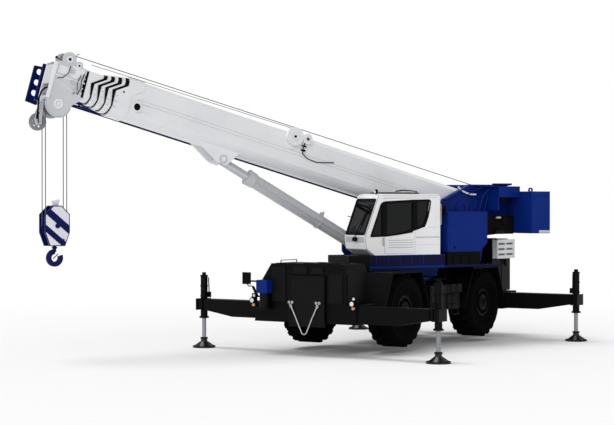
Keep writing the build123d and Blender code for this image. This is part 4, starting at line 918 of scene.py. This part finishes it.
handles = [tube([(1.375, LEFT, 2.70), (1.375, LEFT + 0.045, 2.72), (1.375, LEFT + 0.045, 2.88),
                 (1.375, LEFT, 2.90)], 0.012), brick((1.345, LEFT, 2.70), (1.40, LEFT + 0.006, 2.88)),
           tube([(-0.40, LEFT - 0.08, 3.20), (-0.46, LEFT - 0.04, 3.24), (-0.46, LEFT - 0.04, 3.74),
                 (-0.40, LEFT - 0.08, 3.78)], 0.014)]
piece("cab_handles", UPPER, handles, grey_steel, "upper")
roof = [brick((0.15, 0.72, 4.030), (1.25, 0.75, 4.060)), brick((0.15, 1.36, 4.030), (1.25, 1.39, 4.060))]
roof += [brick((0.22 + 0.16 * k, 0.72, 4.050), (0.25 + 0.16 * k, 1.39, 4.070)) for k in range(7)]
roof += [tube([(1.42, 1.30, 4.00), (1.46, 1.30, 4.10)], 0.016),
         disc(0.05, 0.07, (1.40, 1.30, 4.10), (1, 0, -0.2), 20),
         tube([(-0.05, 0.95, 4.03), (-0.05, 0.95, 4.10), (0.35, 0.95, 4.13), (0.60, 0.95, 4.10)], 0.018)]
piece("cab_roof_guard_and_lamp", UPPER, roof, gasket, "upper")
lens = sprayed("clear_lamp_lens", "#d8dadd", "#e6e7ea", 0.15, 0.5)
piece("cab_lamp_lens", UPPER, [disc(0.043, 0.008, (1.47, 1.30, 4.085), (1, 0, -0.2), 20)], lens, "upper")
mirror = [tube([(-0.40, 1.40, 3.80), (-0.52, 1.58, 3.82), (-0.52, 1.58, 3.70)], 0.012),
          brick((-0.53, 1.50, 3.44), (-0.50, 1.64, 3.72))]
piece("cab_rear_mirror", UPPER, mirror, gasket, "upper", 0.004)
controls = [ring(0.15, 0.175, 0.025, (1.42, 1.06, 3.16), (-0.55, 0, 0.84), 32),
            tube([(1.42, 1.06, 3.16), (1.56, 1.06, 2.98)], 0.02),
            tube([(1.42, 0.91, 3.16), (1.42, 1.21, 3.16)], 0.012),
            tube([(0.62, 0.78, 3.02), (0.64, 0.78, 3.22)], 0.014),
            tube([(0.62, 1.34, 3.02), (0.64, 1.34, 3.22)], 0.014),
            brick((0.36, 0.72, 2.96), (0.74, 0.84, 3.03)), brick((0.36, 1.28, 2.96), (0.74, 1.40, 3.03)),
            brick((1.62, 0.68, 3.10), (1.66, 0.92, 3.32))]
piece("cab_controls", UPPER, controls, black_rubber_and_shade, "upper", 0.003)

# ---------------------------------------------------------------- carrier body
# Satin black all over: only edges, bolts and the slightly lighter front panel
# separate one plate from the next.
black_enamel = sprayed("black_chassis_enamel", BLACK_PAINT, "#0c0c0d", 0.42, specular=0.08)
panel_black = sprayed("front_panel_black", "#0e0e0f", "#131314", 0.45, specular=0.10)
finish_nodes(black_enamel, "chassis", "outrigger_boxes", "slewing_ring", "front_housing", "engine_cover",
             "mudguards", "side_lockers", "axles", "lamps_and_mirror")
finish_nodes(panel_black, "front_panel")
finish_nodes(dark_steel, "engine")
finish_nodes(cab_white, "louvred_box")
FRONT = 4.400        # front face of the housing
FRONT_AXLE = 2.172   # X of the axles, from the swing centre
REAR_AXLE = -2.064
# (X, side) of each outrigger
LEGS = {"fr": (3.670, -1), "fl": (4.160, 1), "rr": (-4.020, -1), "rl": (-3.600, 1)}
LAMP_Y = (-1.52, 1.44)           # head and turn lamps
panel = [frame_of([(-0.42, 0.74), (-0.42, 1.99), (0.63, 1.99), (0.63, 0.74)], 0.05, FRONT + 0.060,
                  FRONT + 0.072, "x")]
panel += bolts([(FRONT + 0.072, y, z) for y in (-0.395, 0.605) for z in (0.78, 1.10, 1.62, 1.96)], X, 0.034,
               0.014)
panel += [brick((FRONT, -0.95, 1.34), (FRONT + 0.018, -0.55, 2.20)),
          brick((FRONT, 0.72, 1.34), (FRONT + 0.018, 1.12, 2.05)),
          brick((FRONT, -0.30, 2.04), (FRONT + 0.030, 0.10, 2.22)),
          brick((FRONT, 0.22, 2.04), (FRONT + 0.030, 0.58, 2.20))]
piece("front_panel_frame", CARRIER, panel, panel_black, "carrier", 0.003)
hood = [brick((3.50, -0.90, 2.285), (4.34, 1.05, 2.297)), brick((3.52, -0.10, 2.297), (4.30, 0.12, 2.309))]
hood += [brick((3.70 + 0.16 * k, 0.30, 2.297), (3.76 + 0.16 * k, 0.90, 2.312)) for k in range(4)]
hood += [tube([(3.55, -0.80, 2.30), (3.55, -0.80, 2.36), (4.25, -0.80, 2.36), (4.25, -0.80, 2.30)], 0.014),
         brick((3.46, -1.275, 1.30), (4.36, -1.255, 1.84)), brick((3.46, 1.225, 1.34), (4.36, 1.245, 2.08))]
piece("hood_plates_and_rail", CARRIER, hood, black_enamel, "carrier", 0.003)
# bright tow sling: rings on the housing and one rope in a V
SLING_X = 4.490
sling_rings = []
for y in (-0.34, 0.46):
    for dy in (-0.045, 0.045):
        sling_rings.append(ring(0.016, 0.034, 0.02, (SLING_X, y + dy, 1.335), X, 16))
    sling_rings += [disc(0.016, 0.09, (SLING_X - 0.04, y, 1.28), X, 12),
                    ring(0.018, 0.034, 0.02, (SLING_X, y * 0.97, 1.24), X, 16)]
bright_rope = sprayed("bright_galvanised_rope", "#c3c5c8", "#aeb1b5", 0.38, 0.0, 0.3)
piece("tow_sling_ends", CARRIER, sling_rings, bright_rope, "carrier")
sling = [(SLING_X, -0.335, 1.23), (SLING_X, -0.20, 0.97), (SLING_X, -0.04, 0.63), (SLING_X, -0.01, 0.575),
         (SLING_X, 0.05, 0.545), (SLING_X, 0.11, 0.575), (SLING_X, 0.14, 0.63), (SLING_X, 0.30, 0.98),
         (SLING_X, 0.435, 1.24)]
piece("tow_sling", CARRIER, [tube(sling, 0.0145, 8)], bright_rope, "carrier")
# side of the front corner: blue box over a dark can, lamps, curved mirror arm
blue_box = [brick((4.41, -1.28, 1.54), (4.66, -0.95, 1.87))]
piece("front_corner_blue_box", CARRIER, blue_box, blue_enamel, "carrier", 0.012)
can = [disc(0.12, 0.37, (4.535, -1.11, 1.17), Z, 28), ring(0.122, 0.132, 0.03, (4.535, -1.11, 1.26), Z, 28),
       ring(0.122, 0.132, 0.03, (4.535, -1.11, 1.44), Z, 28), brick((4.40, -1.30, 1.14), (4.67, -0.92, 1.17))]
piece("front_corner_can", CARRIER, can, panel_black, "carrier", 0.003)
arm = [(4.34, -1.42, 1.44), (4.37, -1.50, 1.58), (4.37, -1.56, 1.66), (4.37, -1.62, 1.70),
       (4.37, -1.70, 1.69), (4.36, -1.76, 1.74)]
mirror_arm = [tube(arm, 0.014),
              slab([(-1.47, 1.42), (-1.40, 1.42), (-1.56, 1.70), (-1.61, 1.68)], 4.34, 4.38, "x"),
              frame_of([(-1.90, 1.74), (-1.90, 2.04), (-1.66, 2.04), (-1.66, 1.74)], 0.02, 4.37, 4.382, "x")]
piece("front_mirror_arm", CARRIER, mirror_arm, black_rubber_and_shade, "carrier")
white_lens = []
amber_lens = []
for y in LAMP_Y:
    white_lens += [disc(0.055, 0.02, (4.48, y, 1.345), X, 24), disc(0.035, 0.012, (4.40, y, 1.46), X, 20)]
    amber_lens.append(disc(0.042, 0.04, (4.40, y, 1.235), X, 20))
piece("head_lamp_lenses", CARRIER, white_lens, lens, "carrier")
amber = sprayed("amber_lamp_lens", "#d98b52", "#e0a070", 0.2, 0.5)
piece("turn_lamp_lenses", CARRIER, amber_lens, amber, "carrier")
lamp_rims = [ring(0.055, 0.075, 0.03, (4.47, y, 1.345), X, 24) for y in LAMP_Y]
lamp_rims += [brick((4.36, y - 0.07, 1.17), (4.40, y + 0.07, 1.52)) for y in LAMP_Y]
piece("lamp_rims", CARRIER, lamp_rims, black_rubber_and_shade, "carrier", 0.003)
# lockers and ladder between the wheels, both sides
trim = []
rungs = []
for side in (-1, 1):
    out = side * 1.600
    low_out = side * 1.560
    for x0, x1 in ((-0.74, -0.02), (0.02, 0.82)):
        trim.append(brick((x0, out, 1.43), (x1, out + side * 0.012, 1.62)))
        trim.append(brick((x0 + 0.06, low_out, 1.02), (x1 - 0.04, low_out + side * 0.014, 1.38)))
        trim += bolts([(x, low_out + side * 0.014, z) for x in (x0 + 0.09, x1 - 0.07) for z in (1.05, 1.35)],
                      side * Y, 0.03, 0.01)
    rungs += [tube([(x, side * 1.58, 1.64), (x, side * 1.64, 1.60), (x, side * 1.64, 0.84)], 0.014)
              for x in (-0.52, -0.18)]
    rungs += [brick((-0.52, side * 1.60, z), (-0.18, side * 1.68, z + 0.02)) for z in (0.84, 1.10, 1.36)]
piece("locker_doors", CARRIER, trim, panel_black, "carrier", 0.004)
piece("side_ladders", CARRIER, rungs, black_enamel, "carrier")
# hoses and valve stacks that fill the gap over the chassis
hoses = []
for k in range(5):
    y = -0.34 + 0.15 * k
    hoses.append(tube([(3.40, y, 1.66), (3.0, y * 1.1, 1.72), (2.2, y * 1.3, 1.69), (1.4, y * 1.5, 1.73),
                       (1.0, y * 1.3, 1.70)], 0.020))
hoses += [brick((2.5, -0.30, 1.64), (2.9, 0.30, 1.78)), brick((1.5, -0.42, 1.64), (1.75, 0.42, 1.74))]
for y in (-0.50, 0.50):
    hoses.append(tube([(3.35, y, 1.30), (2.6, y, 1.26), (1.6, y, 1.28), (1.1, y * 1.04, 1.05),
                       (-1.0, y * 1.04, 1.05), (-1.5, y, 1.28), (-3.2, y, 1.30)], 0.022))
piece("carrier_hoses", CARRIER, hoses, black_rubber_and_shade, "carrier")
BOX_OUT = 1.500
box_trim = []
for x, _ in LEGS.values():
    for side in (-1, 1):
        face = side * BOX_OUT
        box_trim.append(frame_of([(x - 0.219, 0.826), (x - 0.219, 1.309), (x + 0.219, 1.309),
                                  (x + 0.219, 0.826)], 0.022, face, face + side * 0.005, "y"))
        box_trim += bolts([(x + dx, face + side * 0.005, z) for dx in (-0.21, 0.21)
                           for z in (0.84, 1.07, 1.29)], side * Y, 0.03, 0.008)
piece("outrigger_tunnel_collars", CARRIER, box_trim, black_enamel, "carrier", 0.002)
# engine cover: doors, grilles, exhaust, rear platform with its rail and hoses
cover = []
for side in (-1, 1):
    y = side * 1.180
    x_list = ((-4.30, -3.95), (-3.90, -3.46)) if side < 0 else ((-4.30, -3.95),)
    cover += [brick((x0, y, 1.42), (x1, y + side * 0.014, 2.16)) for x0, x1 in x_list]
    cover += [brick((-3.90, y, z), (-3.46, y + side * 0.022, z + 0.03))
              for z in [1.50 + 0.08 * k for k in range(8)]]
cover += [brick((-4.20, -0.90, 2.780), (-3.50, 0.90, 2.792)),
          tube([(-3.70, -0.85, 2.78), (-3.70, -0.85, 3.02), (-3.82, -0.85, 3.08)], 0.055, 14)]
piece("engine_cover_doors", CARRIER, cover, black_enamel, "carrier", 0.003)
slots = []
for column in range(2):
    for row in range(3):
        x = -4.40 + column * 0.50
        z = 2.31 + row * 0.15
        slots.append(brick((x + 0.01, 1.294, z + 0.004), (x + 0.41, 1.298, z + 0.056)))
piece("cooler_slots_shade", CARRIER, slots, sprayed("slot_shade_grey", "#77797e", "#6c6e73", 0.6), "carrier")
cooler = [frame_of([(-4.485, 2.225), (-4.485, 2.765), (-3.395, 2.765), (-3.395, 2.225)], 0.03, 1.330, 1.338,
                   "y")]
cooler += bolts([(x, 1.338, z) for x in (-4.46, -3.42) for z in (2.25, 2.50, 2.74)], Y, 0.026, 0.01)
piece("cooler_box_frame", CARRIER, cooler, cab_white, "carrier", 0.002)
cooler_leg = [tube([(-4.05, 1.24, 2.23), (-4.20, 1.20, 2.02)], 0.03),
              brick((-4.10, 1.18, 2.19), (-3.70, 1.32, 2.23))]
piece("cooler_box_bracket", CARRIER, cooler_leg, black_rubber_and_shade, "carrier")
rear = [brick((-4.88, -0.60, 1.60), (-4.48, 0.95, 1.64)), brick((-4.88, -0.60, 1.50), (-4.84, 0.95, 1.64)),
        brick((-4.83, 0.60, 1.36), (-4.50, 0.66, 1.60)), brick((-4.83, -0.50, 1.36), (-4.50, -0.44, 1.60)),
        tube([(-4.50, 1.10, 2.00), (-4.62, 1.05, 1.90), (-4.85, 0.92, 1.64)], 0.022),
        tube([(-4.50, 1.00, 1.86), (-4.60, 0.96, 1.74), (-4.70, 0.92, 1.64)], 0.018),
        tube([(-4.86, 0.90, 1.36), (-4.80, 0.90, 1.33), (-4.62, 0.92, 1.30)], 0.02),
        brick((-4.86, 0.70, 1.30), (-4.62, 1.00, 1.34))]
piece("rear_platform", CARRIER, rear, black_enamel, "carrier", 0.003)
pintle = [ring(0.05, 0.10, 0.05, (-4.78, 0.18, 1.44), Y, 20), brick((-4.74, 0.10, 1.38), (-4.50, 0.30, 1.50))]
piece("rear_pintle", CARRIER, pintle, dark_steel, "carrier", 0.004)
# mudguards: rolled edges and mud flaps
GUARD = [(-1.108, 1.180), (-0.720, 2.045), (0.720, 2.045), (1.108, 1.180)]
edges = []
for axle_x in (FRONT_AXLE, REAR_AXLE):
    for side in (-1, 1):
        for y in (1.655, 0.935):
            edges.append(tube([(axle_x + x * 0.99, side * y, z) for x, z in GUARD], 0.018))
        for x in (-1.10, 1.10):
            edges.append(brick((axle_x + x - 0.008, side * 0.96, 0.98),
                               (axle_x + x + 0.008, side * 1.64, 1.20)))
piece("mudguard_edges_and_flaps", CARRIER, edges, black_rubber_and_shade, "carrier")

# ---------------------------------------------------------------- wheels
# Earthmover tyres: near-black rubber, dull with a dusty bloom; the five-piece rims are
# black too, with a ring of nuts and a planetary hub that catch a little light.
tyre_rubber = sprayed("dusty_tyre_rubber", "#040404", "#080808", 0.85, specular=0.04)
rim_enamel = sprayed("rim_enamel", "#08080a", "#0e0e10", 0.45, specular=0.10)
CORNERS = {"front_left": (FRONT_AXLE, 1), "front_right": (FRONT_AXLE, -1), "rear_left": (REAR_AXLE, 1),
           "rear_right": (REAR_AXLE, -1)}
WHEEL_Y = 1.282
WHEEL_Z = 1.077
for corner, (axle_x, side) in CORNERS.items():
    finish_nodes(tyre_rubber, "tyre_" + corner)
    finish_nodes(rim_enamel, "rim_" + corner)
    finish_nodes(black_enamel, "knuckle_" + corner)
    out = side * Y

    def hub_at(y, x=0.0, z=0.0):
        return (axle_x + x, side * (WHEEL_Y + y), WHEEL_Z + z)

    beads = [ring(0.470, 0.482, 0.006, hub_at(0.352), out, 64),
             ring(0.640, 0.655, 0.008, hub_at(0.366), out, 64),
             ring(0.560, 0.566, 0.006, hub_at(0.362), out, 64)]
    for k in range(20):
        turn = 2 * math.pi * (k + 0.5) / 20
        a = Vector((math.cos(turn), 0, math.sin(turn)))
        b = Vector((-math.sin(turn), 0, math.cos(turn)))
        start = Vector(hub_at(0.352)) + a * 0.80
        end = Vector(hub_at(0.292)) + a * 0.885
        beads.append(tube([start + b * 0.05, end + b * 0.05], 0.012, 6))
        beads.append(tube([start - b * 0.05, end - b * 0.05], 0.012, 6))
    piece("tyre_%s_ribs" % corner, CARRIER, beads, tyre_rubber, "wheel_" + corner)
    nuts = []
    for k in range(20):
        turn = 2 * math.pi * k / 20
        nuts.append(disc(0.020, 0.030, hub_at(0.195, 0.265 * math.cos(turn), 0.265 * math.sin(turn)), out, 6))
    for k in range(10):
        turn = 2 * math.pi * (k + 0.5) / 10
        nuts.append(disc(0.012, 0.014, hub_at(0.334, 0.098 * math.cos(turn), 0.098 * math.sin(turn)), out, 6))
    nuts += [ring(0.060, 0.085, 0.022, hub_at(0.345), out, 28), disc(0.05, 0.030, hub_at(0.345), out, 20),
             ring(0.236, 0.292, 0.016, hub_at(0.185), out, 40),
             ring(0.350, 0.368, 0.010, hub_at(0.281), out, 48)]
    piece("rim_%s_nuts_and_hub" % corner, CARRIER, nuts, rim_enamel, "wheel_" + corner, 0.002)
    link = [tube([(axle_x - 0.28, side * 0.64, 1.00), (axle_x - 0.28, side * 0.20, 1.00)], 0.028, 10),
            brick((axle_x + 0.14, side * 0.34, 1.18), (axle_x + 0.30, side * 0.42, 1.40))]
    piece("steer_linkage_" + corner, CARRIER, link, dark_steel, "carrier")

# ---------------------------------------------------------------- outriggers
# Black box beams with the jack housing on the end; plated rods, and thick black
# floats with four ribs each.
jack_finish = sprayed("plated_jack_rod", "#9a9da1", "#888b90", 0.30, 0.0, 0.45)
ROD_FOOT = 0.275     # the rod is plated above this, the float and its socket are black
jack_tree = jack_finish.node_tree
plated = two_tone(jack_finish, Z, ROD_FOOT, False)
shine = add(jack_tree, "Math", {"operation": "MULTIPLY", 1: 0.45}, {0: plated.outputs["Value"]})
jack_tree.links.new(shine.outputs["Value"], jack_tree.nodes["Principled BSDF"].inputs["Metallic"])
JACK_Y = 3.650
for leg, (x, side) in LEGS.items():
    finish_nodes(black_enamel, "outrigger_beam_" + leg)
    finish_nodes(jack_finish, "outrigger_jack_" + leg)
    y = side * JACK_Y
    beam = [ring(0.092, 0.104, 0.03, (x, y, z), Z, 32) for z in (1.335, 1.60, 1.868)]
    beam += [brick((x - 0.20, y + side * 0.10, 0.99), (x + 0.20, y + side * 0.125, 1.29)),
             brick((x - 0.14, y, 1.315), (x - 0.10, y - side * 0.13, 1.46)),
             brick((x + 0.10, y, 1.315), (x + 0.14, y - side * 0.13, 1.46)),
             tube([(x - 0.06, y - side * 0.125, 1.335), (x - 0.05, y - side * 0.125, 1.50),
                   (x - 0.04, y - side * 0.115, 1.84)], 0.016)]
    for end in (-1, 1):
        face = x + end * 0.190
        beam += [disc(0.032, 0.004, (face, y - side * 0.32, 1.13), end * X, 16),
                 plate([(y - side * 0.45, 1.02), (y - side * 0.45, 1.03), (side * 1.70, 0.93),
                        (side * 1.70, 0.92)], face, end * 0.004, "x")]
    piece("outrigger_%s_fittings" % leg, CARRIER, beam, black_enamel, "beam_" + leg, 0.002)
    foot = [ring(0.085, 0.100, 0.03, (x, y, 0.235), Z, 32), ring(0.240, 0.292, 0.014, (x, y, 0.036), Z, 48)]
    for k in range(4):
        turn = math.pi * (k + 0.5) / 2
        a = Vector((math.cos(turn), math.sin(turn), 0))
        centre = Vector((x, y, 0))
        foot.append(tube([centre + a * 0.10 + Vector((0, 0, 0.15)),
                          centre + a * 0.25 + Vector((0, 0, 0.045))], 0.012))
    piece("float_%s_ribs" % leg, CARRIER, foot, black_rubber_and_shade, "jack_" + leg)
